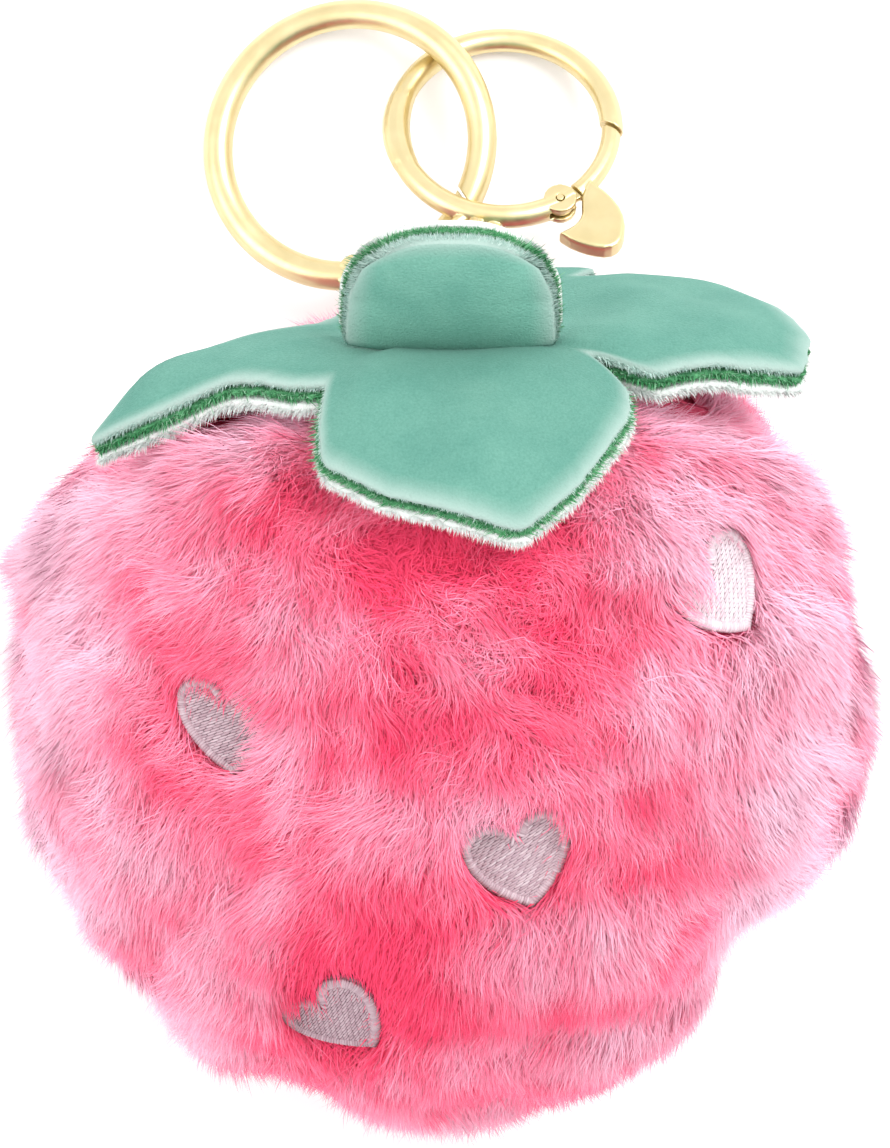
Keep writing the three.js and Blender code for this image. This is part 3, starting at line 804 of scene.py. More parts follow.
def make_pile_material():
    material, principled = new_material("fur_pile", 0.9, Specular_IOR_Level=0.1)
    colour = ramp(material, noise(material, 3.0, 3.0), [(0.3, (0.80, 0.06, 0.14)), (0.7, (0.92, 0.15, 0.27))])
    link(material, colour, principled.inputs["Base Color"])
    add_bump(material, principled, noise(material, 0.6, 4.0), 0.5)
    return material


def make_velvet_material(name, deep, light, rim):
    """Short dense pile: brushed patches, fine grain, a pale rim where the pile is cut, and painted shade:
    a dark line in the crease where it is folded."""
    material, principled = new_material(
        name, 0.9, Sheen_Weight=0.12, Sheen_Roughness=0.4, Specular_IOR_Level=0.1,
    )
    principled.inputs["Sheen Tint"].default_value = (0.6, 1.0, 0.9, 1)
    patches = ramp(material, noise(material, 9.0, 3.0, 0.6), [(0.35, deep), (0.65, light)])
    grain = ramp(material, noise(material, 0.28, 3.0), [(0.3, (0.8, 0.86, 0.84)), (0.7, WHITE)])
    body = mixed(material, 1.0, patches, grain, "MULTIPLY")
    edge = add_node(material, "ShaderNodeAttribute", attribute_name="rim").outputs["Fac"]
    crease_shade = add_node(material, "ShaderNodeAttribute", attribute_name="crease_shade").outputs["Fac"]
    # Painted shade: a dark green line along the crease at the tab's foot.
    crease_shaded = mixed(material, crease_shade, mixed(material, edge, body, rim), (0.02, 0.12, 0.09))
    link(material, crease_shaded, principled.inputs["Base Color"])
    add_bump(material, principled, noise(material, 0.25, 3.0), 0.15)
    return material


def make_noisy_material(name, dark, light, size, roughness, bump, **constants):
    """Two tones in patches about size millimetres across, with bumps half as large and bump high."""
    material, principled = new_material(name, roughness, **constants)
    colour = ramp(material, noise(material, size, 4.0), [(0.35, dark), (0.65, light)])
    link(material, colour, principled.inputs["Base Color"])
    add_bump(material, principled, noise(material, size / 2, 3.0), bump)
    return material


def make_gold_material():
    """Polished pale gold plating over cast metal, with faint handling marks."""
    material, principled = new_material("pale_gold", 0.34, Metallic=1.0)
    tone = ramp(material, noise(material, 4.0, 3.0), [(0.3, (0.68, 0.56, 0.30)), (0.7, (0.75, 0.64, 0.37))])
    link(material, tone, principled.inputs["Base Color"])
    worn = ramp(material, noise(material, 1.2, 4.0), [(0.35, (0.30, 0.30, 0.30)), (0.75, (0.40, 0.40, 0.40))])
    link(material, worn, principled.inputs["Roughness"])
    add_bump(material, principled, noise(material, 1.2, 2.0), 0.008)
    return material


WHITE = (1.0, 1.0, 1.0)
CUT_RIM = (0.33, 0.44, 0.40)

fur_material = strand_material(
    "fur_strands",
    [
        (0.0, (0.94, 0.07, 0.17)), (0.3, (0.99, 0.20, 0.33)),
        (0.55, (0.995, 0.37, 0.52)), (1.0, (1.0, 0.65, 0.79)),
    ],
    # Painted shade: the fur darker and pinker at its roots, deep in the pile.
    [(0.0, (1.0, 0.64, 0.72)), (0.5, (1.0, 0.88, 0.92)), (1.0, WHITE)],
    roughness=0.75,
)
pile_material = make_pile_material()
velvet_material = make_velvet_material("velvet", (0.105, 0.265, 0.216), (0.131, 0.30, 0.245), CUT_RIM)
# The tab is the leaves' fabric in lighter tones: painted light, to make up for the shade on the steep tab.
tab_material = make_velvet_material("tab_velvet", (0.14, 0.345, 0.28), (0.18, 0.40, 0.325), CUT_RIM)
# The velvet's edge strands are lighter than the velvet: painted light, lifted to make up for the shade among
# them. The second ramp of this and the two edge strand materials below is painted shade at their roots.
mint_fringe_material = strand_material(
    "velvet_pile", [(0.0, (0.30, 0.48, 0.42)), (1.0, (0.62, 0.75, 0.70))],
    [(0.0, (0.85, 0.92, 0.9)), (1.0, WHITE)],
)
green_material = make_noisy_material("green_backing", (0.02, 0.13, 0.05), (0.09, 0.32, 0.14), 0.7, 0.9, 0.4)
green_fringe_material = strand_material(
    "green_frays", [(0.0, (0.02, 0.16, 0.05)), (0.6, (0.09, 0.37, 0.15)), (1.0, (0.30, 0.54, 0.36))],
    [(0.0, (0.8, 0.8, 0.8)), (1.0, WHITE)],
)
white_material = make_noisy_material("white_pile", (0.60, 0.65, 0.62), (0.72, 0.75, 0.73), 1.2, 0.9, 0.4)
white_fringe_material = strand_material(
    "white_pile_strands", [(0.0, (0.66, 0.74, 0.70)), (1.0, (0.86, 0.88, 0.87))],
    [(0.0, (0.85, 0.88, 0.86)), (1.0, WHITE)],
)
# The thread is white: its dusty pink tints are painted shade and pink light from the fur, each heart's range
# given in HEARTS, and its darker ends are painted shade where the stitches go into the cloth.
satin_material = strand_material(
    "satin_thread", [(0.0, (0.34, 0.22, 0.26)), (0.5, (0.48, 0.36, 0.40)), (1.0, (0.70, 0.62, 0.66))],
    [(0.0, (0.7, 0.6, 0.64)), (0.2, WHITE), (0.8, WHITE), (1.0, (0.7, 0.6, 0.64))],
    roughness=0.35, specular=0.5,
)
patch_material = make_noisy_material("heart_patch", (0.26, 0.14, 0.18), (0.34, 0.21, 0.25), 0.5, 0.8, 0.1)
gold_material = make_gold_material()
steel_material = make_noisy_material(
    "spring_wire", (0.50, 0.50, 0.52), (0.64, 0.64, 0.66), 0.8, 0.3, 0.01, Metallic=1.0,
)
cord_material = make_noisy_material(
    "satin_cord", (0.20, 0.52, 0.42), (0.32, 0.68, 0.56), 0.4, 0.5, 0.05, Sheen_Weight=0.3,
)
thread_material = make_noisy_material("gather_thread", (0.55, 0.12, 0.20), (0.75, 0.25, 0.34), 0.3, 0.6, 0.05)
filling_material = make_noisy_material(
    "fibre_filling", (0.78, 0.78, 0.77), (0.90, 0.90, 0.89), 3.0, 0.95, 0.8,
)


# ---------- leaves ----------

wrinkles = Waves(41, 17)
rough_edge = Waves(42, 1.6)

# How far each layer of the calyx reaches past the star, and how ragged its cut is.
LAYER_GROWTH = {"underside": 0.8, "backing": 0.2, "velvet": -0.1}
LAYER_ROUGHNESS = {"underside": 0.10, "backing": 0.16, "velvet": 0.05}
TAB_GROWTH = {"underside": 0.6, "backing": 0.25, "velvet": -0.05}

# The short strands at a layer's cut edge: their name, the layer's slot and their material, how high
# they stand in the stack, how far behind the edge they start (least, most) and how wide they are.
EDGE_STRANDS = {
    "underside": ("white_pile", "white_pile", white_fringe_material, 1.25, (0.2, 0.8), 0.10),
    "backing": ("green_frays", "green_backing", green_fringe_material, 2.3, (0.1, 0.4), 0.11),
    "velvet": ("velvet_pile", "velvet", mint_fringe_material, 3.3, (0.0, 0.9), 0.09),
}

# Their inset from the edge, number, seed, length and drop (least, most), and how much they lean.
CALYX_STRANDS = {
    "underside": (0.6, 38000, 51, (0.8, 1.9), (-1.1, 0.3), 0.22),
    "backing": (0.3, 30000, 52, (0.3, 1.0), (-0.55, 0.45), 0.9),
    "velvet": (0.5, 39000, 53, (0.5, 1.0), (-0.6, 0.2), 0.35),
}
TAB_STRANDS = {
    "underside": (0.3, 16000, 61, (0.4, 0.9), (-0.5, 0.1), 0.25),
    "backing": (0.2, 12000, 62, (0.3, 0.85), (-0.45, 0.45), 0.7),
    "velvet": (0.5, 22000, 63, (0.5, 1.0), (-0.5, 0.2), 0.3),
}


def raised_leaf(distance, lon_degrees, layer_raise):
    """A layer's height off the fur: its place in the stack, the leaf's lift and its own crown."""
    reach, lift = star_at(lon_degrees)
    leafy = np.clip((reach - 19) / 10, 0, 1)
    crown = 0.8 * leafy * np.sin(math.pi * np.clip(distance / reach, 0, 1))
    return layer_raise + lift * (distance / STAR_LENGTH) ** 2 + crown


def leaf_points(distance, lon_degrees, layer_raise):
    """Points of a layer laid over the body and slightly wrinkled, the way down the leaf and out."""
    raised = raised_leaf(distance, lon_degrees, layer_raise)
    points, down, out = draped(distance, lon_degrees, raised)
    ripple = 0.35 * (wrinkles(points) + 0.6) * np.clip((distance - 8) / 14, 0, 1)
    return points + out * ripple[..., None], down, out


def make_calyx_layer(layer, material):
    """One layer of the star, its cut edge rounded: the piece, its flat size and its flat area."""
    low, high = LAYERS[layer]
    half, middle = (high - low) / 2, (high + low) / 2
    columns, rings = 420, 30
    lon = np.arange(columns) * 360 / columns
    reach = star_at(lon)[0] + LAYER_GROWTH[layer]
    edge_at = np.stack([np.cos(np.radians(lon)), np.sin(np.radians(lon)), 0 * lon], 1) * reach[:, None]
    reach = reach + LAYER_ROUGHNESS[layer] * rough_edge(edge_at)
    rows = [(CALYX_HOLE + (reach - half - CALYX_HOLE) * k / rings, high) for k in range(rings + 1)]
    for turn in np.radians([30, 60, 90, 120, 150]):
        rows.append((reach - half + half * math.sin(turn), middle + half * math.cos(turn)))
    rows += [(distance, low) for distance, _ in rows[rings::-1]]
    distance = np.stack([row[0] + 0 * lon for row in rows])
    layer_raise = np.array([row[1] for row in rows])[:, None] + 0 * distance
    points, _, _ = leaf_points(distance, lon, layer_raise)
    faces = grid_faces(len(rows), columns, wrap_rows=True, wrap_columns=True)
    piece = add_mesh(f"leaves_{layer}", points.reshape(-1, 3), faces, [material], f"calyx_{layer}")
    add_weights(piece, "rim", np.clip(1 - (reach - distance) / 2.4, 0, 1) ** 1.6)
    right, left, front, back = star_at(STAR_ENDS)[0]
    flat = (float(right + left) * MM, float(front + back) * MM)
    return piece, flat, float((reach ** 2).mean() * math.pi) * MM ** 2


def fringe(leaf, layer, body, edge, down, out, count, seed, length, drop, scatter):
    """Short strands along an edge: edge, down and out are the edge's points and directions."""
    name, slot, material, _, start, width = EDGE_STRANDS[layer]
    rng = np.random.default_rng(seed)
    walked = walked_along(edge)
    where = np.interp(rng.random(count) * walked[-1], walked, np.arange(len(edge)))
    low = np.minimum(where.astype(int), len(edge) - 2)
    t = (where - low)[:, None]
    root, away, up = (a[low] * (1 - t) + a[low + 1] * t for a in (edge, down, out))
    side = unit(np.cross(away, up))
    long = rng.uniform(*length, count)[:, None]
    fall = rng.uniform(*drop, count)[:, None]
    lean = scatter * rng.normal(size=(count, 1))
    begin = rng.uniform(*start, count)[:, None]
    lift = rng.uniform(-0.5, 0.5, (count, 1))
    shares = np.array([0, 0.4, 0.75, 1.0])[:, None, None]
    paths = (
        root + away * (long * shares - begin) + up * (lift * 0.5 + fall * shares ** 2)
        + side * (lean * long * shares)
    )
    along = unit(np.gradient(paths, axis=0))
    _, sides = rolled(along, up, rng.uniform(-1.2, 1.2, count)[:, None])
    ups = np.broadcast_to(unit(up + 0.6 * away + 0.4 * side * lean), paths.shape)
    widths = np.array([1.0, 0.9, 0.6]) * width
    vertices, faces, uv, normals = ribbon_mesh(paths, sides, widths, rng.random(count), ups)
    return add_mesh(f"{leaf}_{name}", vertices, faces, [material], body=body, uv=uv, normals=normals)


def calyx_edge(layer, inset, layer_raise):
    """The closed edge of a calyx layer: points, the way out along the leaf, and the way up."""
    lon = np.linspace(0, 360, 721)
    reach = star_at(lon)[0] + LAYER_GROWTH[layer] - inset
    rows = np.stack([reach, reach - 1.0])
    points, _, out = leaf_points(rows, lon, layer_raise + 0 * rows)
    return points[0], unit(points[0] - points[1]), out[0]


def make_calyx():
    sheets = zip(LAYERS, (white_material, green_material, velvet_material), strict=True)
    for layer, material in sheets:
        _, slot, _, stands_at, _, _ = EDGE_STRANDS[layer]
        inset, *strands = CALYX_STRANDS[layer]
        piece, flat, area = make_calyx_layer(layer, material)
        edge = calyx_edge(layer, inset, stands_at)
        pile = fringe("leaves", layer, "root", *edge, *strands)


def tab_point(across, up, raise_by):
    """A point of the stem tab, as in the CAD model: across from -1 to 1 and up from 0 to 1."""
    top = up * (1 - 0.4 * np.abs(across) ** 2.6)
    steps = 20
    height = TAB_BASE[2] + 0 * top
    back = TAB_BASE[1] + 0 * top
    for i in range(steps):
        angle = TAB_FOOT_ANGLE + (TAB_TOP_ANGLE - TAB_FOOT_ANGLE) * top * ((i + 0.5) / steps)
        back = back + np.cos(angle) * TAB_HEIGHT * top / steps
        height = height + np.sin(angle) * TAB_HEIGHT * top / steps
    width = TAB_HALF_WIDTH * (1 - 0.16 * up ** 3)
    forward = raise_by - TAB_CURL * across ** 2 * np.minimum(1, 0.35 + 1.3 * up)
    return np.stack([
        TAB_BASE[0] + width * across,
        back - np.sin(angle) * forward,
        height + np.cos(angle) * forward,
    ], -1)


def make_tab_layer(layer, material):
    """One layer of the tab: two faces and a rounded edge, with painted shade marked along the crease at its
    foot.
    """
    low, high = LAYERS[layer]
    rows, columns = 40, 56
    count = rows * columns
    grow = TAB_GROWTH[layer]
    across, up = np.meshgrid(
        np.linspace(-1, 1, columns) * (1 + grow / TAB_HALF_WIDTH),
        np.linspace(0, 1 + grow / TAB_HEIGHT, rows),
    )
    border = np.concatenate([
        np.arange(columns), np.arange(1, rows) * columns + columns - 1,
        (rows - 1) * columns + np.arange(columns - 2, -1, -1), np.arange(rows - 2, 0, -1) * columns,
    ])
    half, middle = (high - low) / 2, (high + low) / 2
    edge = tab_point(across, up, middle).reshape(-1, 3)[border]
    inward = unit(tab_point(np.array(0.0), np.array(0.45), middle) - edge)
    sheets = [tab_point(across, up, side).reshape(-1, 3) for side in (high, low)]
    for points in sheets:
        points[border] += inward * half * 0.8
    top = grid_faces(rows, columns)
    around = np.arange(len(border))
    after = (around + 1) % len(border)
    ring = 2 * count + around
    faces = np.concatenate([
        top, top[:, ::-1] + count,
        np.stack([border[after], border[around], ring[around], ring[after]], 1),
        np.stack([ring[after], ring[around], border[around] + count, border[after] + count], 1),
    ])
    points = np.concatenate([*sheets, edge])
    piece = add_mesh(f"stem_{layer}", points, faces, [material], f"tab_{layer}", body="tab")
    share = np.maximum(np.abs(across), np.abs(2 * up - 1) * (up > 0.5))
    rim = (np.clip((share - 0.72) / 0.28, 0, 1) ** 1.5).ravel()
    add_weights(piece, "rim", np.concatenate([rim, rim, np.ones(len(border))]))
    # Painted shade along the crease at the tab's foot.
    crease_shade = (np.clip(1 - up / 0.07, 0, 1) ** 1.2).ravel()
    add_weights(piece, "crease_shade", np.concatenate([crease_shade, crease_shade, crease_shade[border]]))
    return piece


def tab_edge(inset, raise_by):
    """The tab's free edge from one foot to the other: points, the way out and the way forward."""
    t = np.linspace(0, 1, 90)
    side = np.stack([-np.ones(90), t], 1)
    top = np.stack([np.linspace(-1, 1, 140), np.ones(140)], 1)
    route = np.concatenate([side, top, np.stack([np.ones(90), t[::-1]], 1)])
    middle = np.array([0.0, 0.45])
    inner = middle + (route - middle) * 0.9
    points = tab_point(route[:, 0], route[:, 1], raise_by)
    out = unit(points - tab_point(inner[:, 0], inner[:, 1], raise_by))
    forward = unit(tab_point(route[:, 0], route[:, 1], raise_by + 1) - points)
    return points - out * inset, out, forward


def make_tab():
    sheets = zip(LAYERS, (white_material, green_material, tab_material), strict=True)
    for layer, material in sheets:
        _, slot, _, stands_at, _, _ = EDGE_STRANDS[layer]
        inset, *strands = TAB_STRANDS[layer]
        piece = make_tab_layer(layer, material)
        pile = fringe("stem", layer, "tab", *tab_edge(inset, stands_at), *strands)


# ---------- tubes, stitches and cords ----------

def tubes(paths, radii, ups, sides, flatten=1.0):
    """Closed tubes along paths (points along, tubes, 3), with a radius for each point along. ups is
    a way across each tube, and flatten its height for its width."""
    steps, count = paths.shape[:2]
    along = unit(np.gradient(paths, axis=0))
    across = unit(np.cross(along, ups))
    high = np.cross(across, along)
    turns = 2 * math.pi * np.arange(sides) / sides
    ring = (
        np.cos(turns)[:, None] * across[..., None, :] + flatten * np.sin(turns)[:, None] * high[..., None, :]
    ) * radii[:, None, None, None]
    vertices = (paths[..., None, :] + ring).transpose(1, 0, 2, 3).reshape(-1, 3)
    pattern = []
    for i in range(steps - 1):
        for j in range(sides):
            a, b = i * sides + j, i * sides + (j + 1) % sides
            pattern += [[a, b + sides, b], [a, a + sides, b + sides]]
    last = (steps - 1) * sides
    for j in range(1, sides - 1):
        pattern += [[0, j, j + 1], [last, last + j + 1, last + j]]
    faces = (np.arange(count)[:, None, None] * steps * sides + np.array(pattern)).reshape(-1, 3)
    return vertices, faces


def stitch_map(tint, steps, sides):
    """The map of tubes made as stitches: U is the stitch's tint and V the place along it."""
    u = tint[:, None, None] + 0.004 * np.where(np.arange(sides) % 2, 1, -1)
    v = np.linspace(0.01, 0.99, steps)[:, None]
    return np.stack(np.broadcast_arrays(u, v), -1).reshape(-1, 2)


# A heart's stitches. The margins are how much narrower than the heart each part is.
FILL_MARGIN = 1.1
BORDER_MARGIN = 0.2
PATCH_MARGIN = 0.35
FILL_ANGLE = math.radians(20)
FILL_SPACING = 0.27
FILL_LENGTH = 1.2
FILL_STEP = 0.37  # each row starts this share of a stitch further along
FILL_OVERLAP = 0.12
FILL_ARCH = 0.16
FILL_THICKNESS = 0.75
BORDER_WIDTH = 1.15
BORDER_SPACING = 0.31
BORDER_ARCH = 0.42
BORDER_THICKNESS = 0.95
PATCH_THICKNESS = 1.5
STITCH_SIDES = 6
STITCH_SHARES = np.array([0, 0.12, 0.35, 0.65, 0.88, 1.0])
STITCH_RADII = np.array([0.12, 0.18, 0.2, 0.2, 0.18, 0.12])


def dome(x, y):
    """The patch's height under the stitches, from the frame on the fur's surface."""
    return HEART_FACE - 0.75 + 0.45 * (1 - np.minimum(1, heart_share(x, y)) ** 2)


def fill_stitches(rng):
    """Slanted rows of fine stitches, each row set over from the last."""
    starts, ends = [], []
    along = np.array([math.cos(FILL_ANGLE), math.sin(FILL_ANGLE)])
    up = np.array([-along[1], along[0]])
    rows = int(HEART_WIDTH / FILL_SPACING / 2) + 2
    stitches = int(HEART_WIDTH / FILL_LENGTH / 2) + 2
    for row in range(-rows, rows + 1):
        offset = FILL_LENGTH * (row * FILL_STEP % 1) + rng.normal(0, 0.07)
        for k in range(-stitches, stitches + 1):
            a = up * row * FILL_SPACING + along * (k * FILL_LENGTH + offset)
            b = a + along * (FILL_LENGTH + FILL_OVERLAP)
            t = np.linspace(0, 1, 24)[:, None]
            line = a + (b - a) * t
            inside = heart_share(line[:, 0], line[:, 1], HEART_WIDTH - FILL_MARGIN) < 0.98
            if inside.sum() < 5:
                continue
            kept = line[inside]
            starts.append(kept[0])
            ends.append(kept[-1])
    return np.array(starts), np.array(ends) + rng.normal(0, 0.02, (len(ends), 2))


def border_stitches(rng):
    """Short raised stitches side by side across the outline."""
    outline = heart_outline(HEART_WIDTH - BORDER_MARGIN, 40)
    outline = np.concatenate([outline, outline[:1]])
    length_round = walked_along(outline)[-1]
    count = int(length_round / BORDER_SPACING)
    points = points_at(np.linspace(0, length_round, count, endpoint=False), outline)
    ahead = np.roll(points, -2, axis=0) - np.roll(points, 2, axis=0)
    inward = unit(np.stack([-ahead[:, 1], ahead[:, 0]], 1))
    inner = points + inward * (BORDER_WIDTH + rng.normal(0, 0.05, (count, 1)))
    return points + rng.normal(0, 0.03, (count, 2)), inner


def make_heart(name, heart, seed):
    """A heart's stitches, and the patch that they are sewn on, as one piece."""
    rng = np.random.default_rng(seed)
    origin, rows = heart_frame(heart)
    vertices, faces, uvs = [], [], []
    made = 0
    kinds_of_stitch = (
        (fill_stitches(rng), FILL_ARCH, FILL_THICKNESS),
        (border_stitches(rng), BORDER_ARCH, BORDER_THICKNESS),
    )
    for (starts, ends), lift, thickness in kinds_of_stitch:
        line = starts + (ends - starts) * STITCH_SHARES[:, None, None]
        arch = np.sin(math.pi * STITCH_SHARES) ** 0.6
        height = dome(line[..., 0], line[..., 1]) + 0.1 + (lift * arch)[:, None]
        local = np.concatenate([line, height[..., None]], -1)
        paths = local @ rows + origin
        ups = np.broadcast_to(rows[2], paths.shape)
        part, part_faces = tubes(paths, STITCH_RADII * thickness, ups, STITCH_SIDES, flatten=0.75)
        vertices.append(part)
        faces.append(part_faces + made)
        # Painted light and shade: each heart takes its own range of the thread's tints.
        tint = rng.uniform(*heart["tints"], len(starts))
        uvs.append(stitch_map(tint, len(STITCH_SHARES), STITCH_SIDES))
        made += len(part)
    rings = 14
    outline = heart_outline(HEART_WIDTH - PATCH_MARGIN)
    shares = np.concatenate([np.linspace(0.04, 1, rings), np.linspace(1, 0.04, rings)])
    flat = outline * shares[:, None, None]
    height = dome(flat[..., 0], flat[..., 1])
    height[rings:] = HEART_FACE - PATCH_THICKNESS
    local = np.concatenate([flat, height[..., None]], -1).reshape(-1, 3)
    patch = local @ rows + origin
    triangles = halved(grid_faces(2 * rings, len(outline), wrap_rows=True, wrap_columns=True))
    vertices.append(patch)
    faces.append(triangles + made)
    uvs.append(np.full((len(patch), 2), 0.5))
    stitched = sum(len(part) for part in faces[:-1])
    kinds = np.concatenate([np.zeros(stitched), np.ones(len(triangles))])
    add_mesh(
        f"{name}_stitching", np.concatenate(vertices), np.concatenate(faces),
        [satin_material, patch_material], name, uv=np.concatenate(uvs), face_material=kinds,
    )


def smooth_line(points, count):
    """A smooth line through points, as count points evenly spread along it."""
    points = np.asarray(points, float)
    padded = np.concatenate([[2 * points[0] - points[1]], points, [2 * points[-1] - points[-2]]])
    t = np.linspace(0, 1, 20, endpoint=False)[:, None]
    parts = []
    for a, b, c, d in zip(padded, padded[1:], padded[2:], padded[3:]):
        squared = (2 * a - 5 * b + 4 * c - d) * t ** 2
        cubed = (3 * b - a - 3 * c + d) * t ** 3
        parts.append(0.5 * (2 * b + (c - a) * t + squared + cubed))
    line = np.concatenate([*parts, points[-1:]])
    return points_at(np.linspace(0, walked_along(line)[-1], count), line)


def steady_ups(line, first):
    """A way across the line at each of its points that never twists about it."""
    along = unit(np.gradient(line, axis=0))
    ups = [unit(first - dot(first, along[0]) * along[0])]
    for direction in along[1:]:
        ups.append(unit(ups[-1] - dot(ups[-1], direction) * direction))
    return np.array(ups)


def joint_place(name):
    """A joint's place in millimetres."""
    return np.array(next(joint["pos_m"] for joint in frame["joints"] if joint["name"] == name)) / MM


# The cord, 2 mm thick: how far apart the loop's two runs are and how its plies twist.
LOOP_HALF_GAP = 2.2
PLIES = 3
PLY_PITCH = 3.4
PLY_OFFSET = 0.46
PLY_RADIUS = 0.54


def make_loop():
    """A twisted satin cord: out of the calyx, down behind it, round the jump ring and back."""
    root = joint_place("loop_lift")
    bend = joint_place("jump_ring_swing") + np.array([0, 0, LOOP_HALF_GAP])
    middle = smooth_line([
        root,
        (0.5, root[1] + 5.4, root[2] + 0.4),
        (1.6, root[1] + 10.4, root[2] - 5.8),
        (2.8, bend[1] + 0.6, root[2] - 15),
        bend,
    ], 24)
    spread = LOOP_HALF_GAP * (0.6 + 0.4 * np.minimum(1, np.linspace(0, 3, 24)))
    sideways = np.stack([spread, 0 * spread, 0 * spread], 1)
    turns = np.linspace(0, math.pi, 9)[1:-1]
    below = bend + LOOP_HALF_GAP * np.stack([np.cos(turns), 0 * turns, -np.sin(turns)], 1)
    line = smooth_line(np.concatenate([middle + sideways, below, (middle - sideways)[::-1]]), 260)
    ups = steady_ups(line, UP)
    across = np.cross(unit(np.gradient(line, axis=0)), ups)
    twist = np.linspace(0, 2 * math.pi * walked_along(line)[-1] / PLY_PITCH, len(line))[:, None]
    plies = []
    for start in 2 * math.pi * np.arange(PLIES) / PLIES:
        plies.append(line + PLY_OFFSET * (np.cos(twist + start) * ups + np.sin(twist + start) * across))
    paths = np.stack(plies, 1)
    radii = np.full(len(line), PLY_RADIUS)
    vertices, faces = tubes(paths, radii, np.broadcast_to(ups[:, None], paths.shape), sides=12)
    add_mesh("cord_loop", vertices, faces, [cord_material], "hanging_loop", body="hanging_loop")


def make_gather_thread():
    """The thread that draws the fur together round the loop, sewn in and out."""
    turns = np.linspace(0, 2 * math.pi, 97)[:-1]
    radius = 2.9 + 0.12 * np.cos(7 * turns)
    local = np.stack([
        radius * np.sin(turns),
        TOP_LENGTH - DIMPLE - 2.5 + 0.18 * np.sin(7 * turns),
        radius * np.cos(turns),
    ], 1)
    line = local @ BODY_AXES + BODY_CENTRE
    line = np.concatenate([line, line[:1]])
    ups = np.broadcast_to(BODY_AXES[1], line.shape)[:, None]
    vertices, faces = tubes(line[:, None], np.full(len(line), 0.4), ups, sides=8)
    add_mesh("sewn_thread", vertices, faces, [thread_material], "gather_thread")


def make_filling():
    """Loose fibre inside the body, drawn as one lumpy mass."""
    rows, columns = 60, 90
    lat = np.linspace(0.03, math.pi - 0.03, rows)[:, None]
    lon = np.arange(columns) * 2 * math.pi / columns
    points = body_point(lat, lon, PILE + 0.6)
    _, _, out = body_frame(lat, lon)
    points = points + out * (0.5 * small_lumps(points) - 1.2 + np.minimum(0, swell(points)))[..., None]
    ends = []
    for start, order in ((0, 1), ((rows - 1) * columns, -1)):
        ends += [[start, start + k, start + k + 1][::order] for k in range(1, columns - 1)]
    faces = np.concatenate([halved(grid_faces(rows, columns, wrap_columns=True)), ends])
    piece = add_mesh(
        "fibre_filling", points.reshape(-1, 3), faces, [filling_material], "stuffing",
    )


# ---------- hardware ----------

ROUNDED_SHARE = 0.975  # how much of the tube's radius the smoothing leaves
TUBE_REACH = 0.09  # what is this share of a radius off the tube's surface is no part of the tube


def rounded_copy(node, name, body, voxel, ring=None):
    """A CAD node with its facets and edges rounded as cast metal is. With ring, what lies close to
    that ring's tube is made exactly round."""
    source = frame["nodes"][node]
    piece = bpy.data.objects.new(name, source.data.copy())
    bpy.context.scene.collection.objects.link(piece)
    remesh = piece.modifiers.new("Remesh", "REMESH")
    remesh.mode = "VOXEL"
    remesh.voxel_size = voxel * MM
    remesh.use_smooth_shade = True
    smooth = piece.modifiers.new("Smooth", "SMOOTH")
    smooth.factor = 0.5
    smooth.iterations = 6
    evaluated = piece.evaluated_get(bpy.context.evaluated_depsgraph_get())
    mesh = bpy.data.meshes.new_from_object(evaluated)
    mesh.name = name
    piece.modifiers.clear()
    piece.data = mesh
    if ring is not None:
        points = np.empty(len(mesh.vertices) * 3, np.float32)
        mesh.vertices.foreach_get("co", points)
        points = points.reshape(-1, 3) / MM
        from_centre = points - np.array(ring["centre"])
        normal = np.array(ring["normal"])
        flat = from_centre - dot(from_centre, normal) * normal
        spine = np.array(ring["centre"]) + ring["radius"] * unit(flat)
        away = points - spine
        distance = np.linalg.norm(away, axis=1)
        off_tube = np.abs(distance / ring["tube"] - ROUNDED_SHARE) / TUBE_REACH
        weight = np.clip(2 * (1 - off_tube), 0, 1)[:, None]
        points = points + weight * (spine + unit(away) * ring["tube"] - points)
        mesh.vertices.foreach_set("co", (points * MM).astype(np.float32).ravel())
    mesh.materials.clear()
    mesh.materials.append(gold_material)
    mesh.update()
    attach(piece, body)
    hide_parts(node)


def make_jump_ring():
    """A round wire ring with the fine gap where it was closed."""
    low, high = (np.array(corner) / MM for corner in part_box("jump_ring"))
    centre = (low + high) / 2
    wire = 0.6
    radius = (high[2] - low[2]) / 2 - wire
    turns = np.linspace(0.02, 2 * math.pi - 0.02, 97) + 0.6
    line = centre + radius * np.stack([0 * turns, np.cos(turns), np.sin(turns)], 1)
    ups = np.broadcast_to(np.array([1.0, 0, 0]), line.shape)[:, None]
    vertices, faces = tubes(line[:, None], np.full(len(line), wire), ups, sides=20)
    add_mesh("wire_jump_ring", vertices, faces, [gold_material], "jump_ring", body="jump_ring")


def make_hardware():
    rounded_copy("clasp_body", "cast_clasp_body", "clasp", 0.13, CLASP)
    rounded_copy("clasp_lever", "cast_clasp_lever", "clasp_lever", 0.10)
    rounded_copy("clasp_lever_pin", "turned_lever_pin", "clasp", 0.06)
    rounded_copy("key_ring", "cast_key_ring", "key_ring", 0.15, KEY_RING)
    rounded_copy("ring_gate", "cast_ring_gate", "ring_gate", 0.11)
    rounded_copy("ring_gate_pin", "turned_gate_pin", "key_ring", 0.06)
    make_jump_ring()
    for node in ("clasp_lever_spring", "ring_gate_spring"):
        wire = frame["nodes"][node]
        wire.data.materials.clear()
        wire.data.materials.append(steel_material)


# ---------- the view ----------

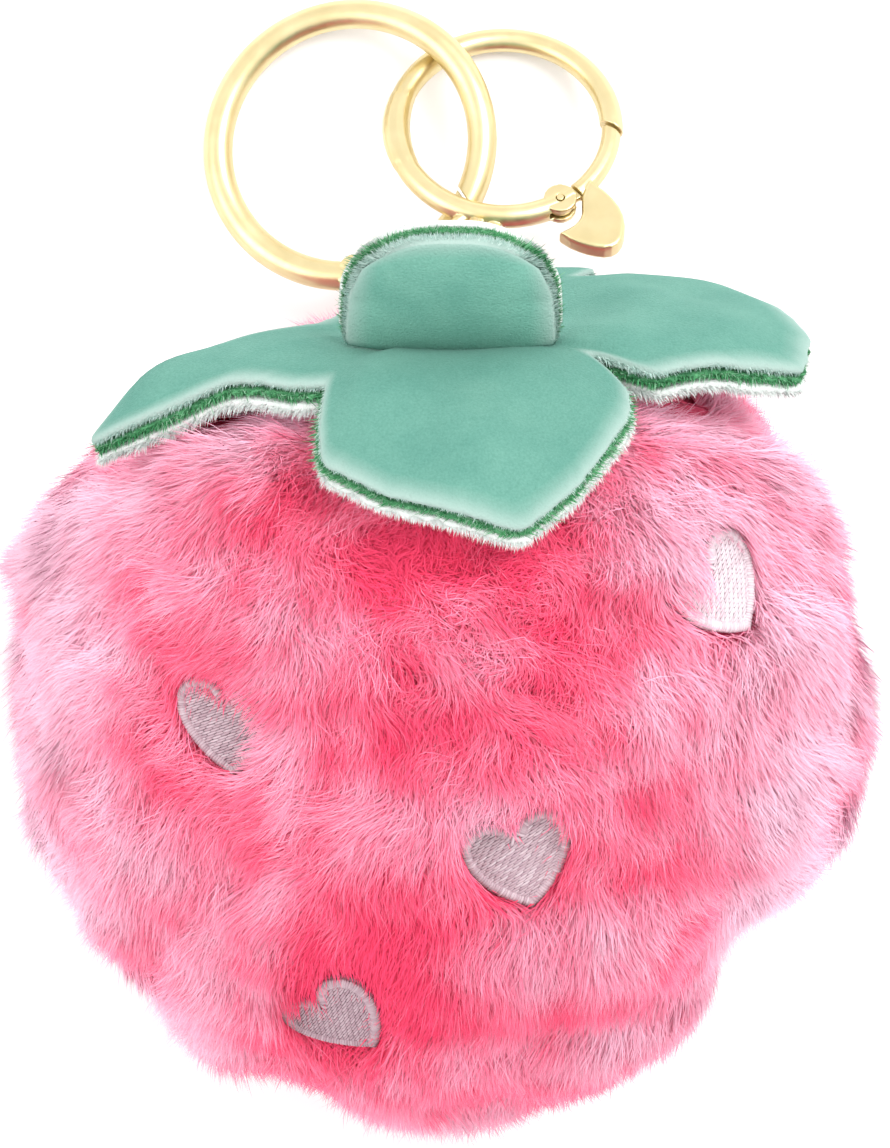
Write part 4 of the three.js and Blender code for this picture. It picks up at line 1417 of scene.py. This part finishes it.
# In metres.
CAMERA_PLACE = (0, -0.003, 0.7)
LIT_PLACE = (0, -0.01, 0.03)
FLOOR_HALF = 1.5
FLOOR_HEIGHT = -0.00005

LENS = 187.6


def make_view():
    camera = bpy.data.objects.new("camera", bpy.data.cameras.new("camera"))
    camera.data.lens = LENS
    camera.data.sensor_width = 36
    camera.data.clip_end = 10
    camera.location = CAMERA_PLACE
    bpy.context.scene.collection.objects.link(camera)
    bpy.context.scene.camera = camera


def area_light(name, place, size, power):
    """A round lamp turned towards the body."""
    light = bpy.data.objects.new(name, bpy.data.lights.new(name, "AREA"))
    light.data.shape = "DISK"
    light.data.size = size
    light.data.energy = power
    light.location = place
    way = unit(np.array(LIT_PLACE) - np.array(place))
    pitch = math.acos(-way[2])
    light.rotation_euler = (pitch, 0, math.atan2(-way[0], way[1]))
    bpy.context.scene.collection.objects.link(light)


def make_studio():
    material, _ = new_material("pale_floor", 0.9, Base_Color=(0.93, 0.93, 0.93, 1), Specular_IOR_Level=0.1)
    ends = ((-1, -1), (1, -1), (1, 1), (-1, 1))
    corners = [(x * FLOOR_HALF, y * FLOOR_HALF, FLOOR_HEIGHT) for x, y in ends]
    mesh = bpy.data.meshes.new("floor")
    mesh.from_pydata(corners, [], [[0, 1, 2, 3]])
    mesh.materials.append(material)
    floor = bpy.data.objects.new("floor", mesh)
    bpy.context.scene.collection.objects.link(floor)
    area_light("key", (0.34, 0.30, 0.60), size=0.45, power=3.9)
    area_light("fill", (-0.52, -0.05, 0.50), size=0.6, power=1.7)
    world = bpy.data.worlds.new("studio")
    world.use_nodes = True
    background = world.node_tree.nodes["Background"]
    background.inputs["Color"].default_value = (1, 1, 1, 1)
    background.inputs["Strength"].default_value = 1.3
    bpy.context.scene.world = world
    bpy.context.scene.view_settings.view_transform = "Standard"


make_view()
make_pile_backing()
make_fur()
make_filling()
make_gather_thread()
make_calyx()
make_tab()
for seed, (heart_name, heart_place) in enumerate(HEARTS.items()):
    make_heart(heart_name, heart_place, 70 + seed)
make_loop()
make_hardware()
make_studio()

bpy.context.view_layer.update()
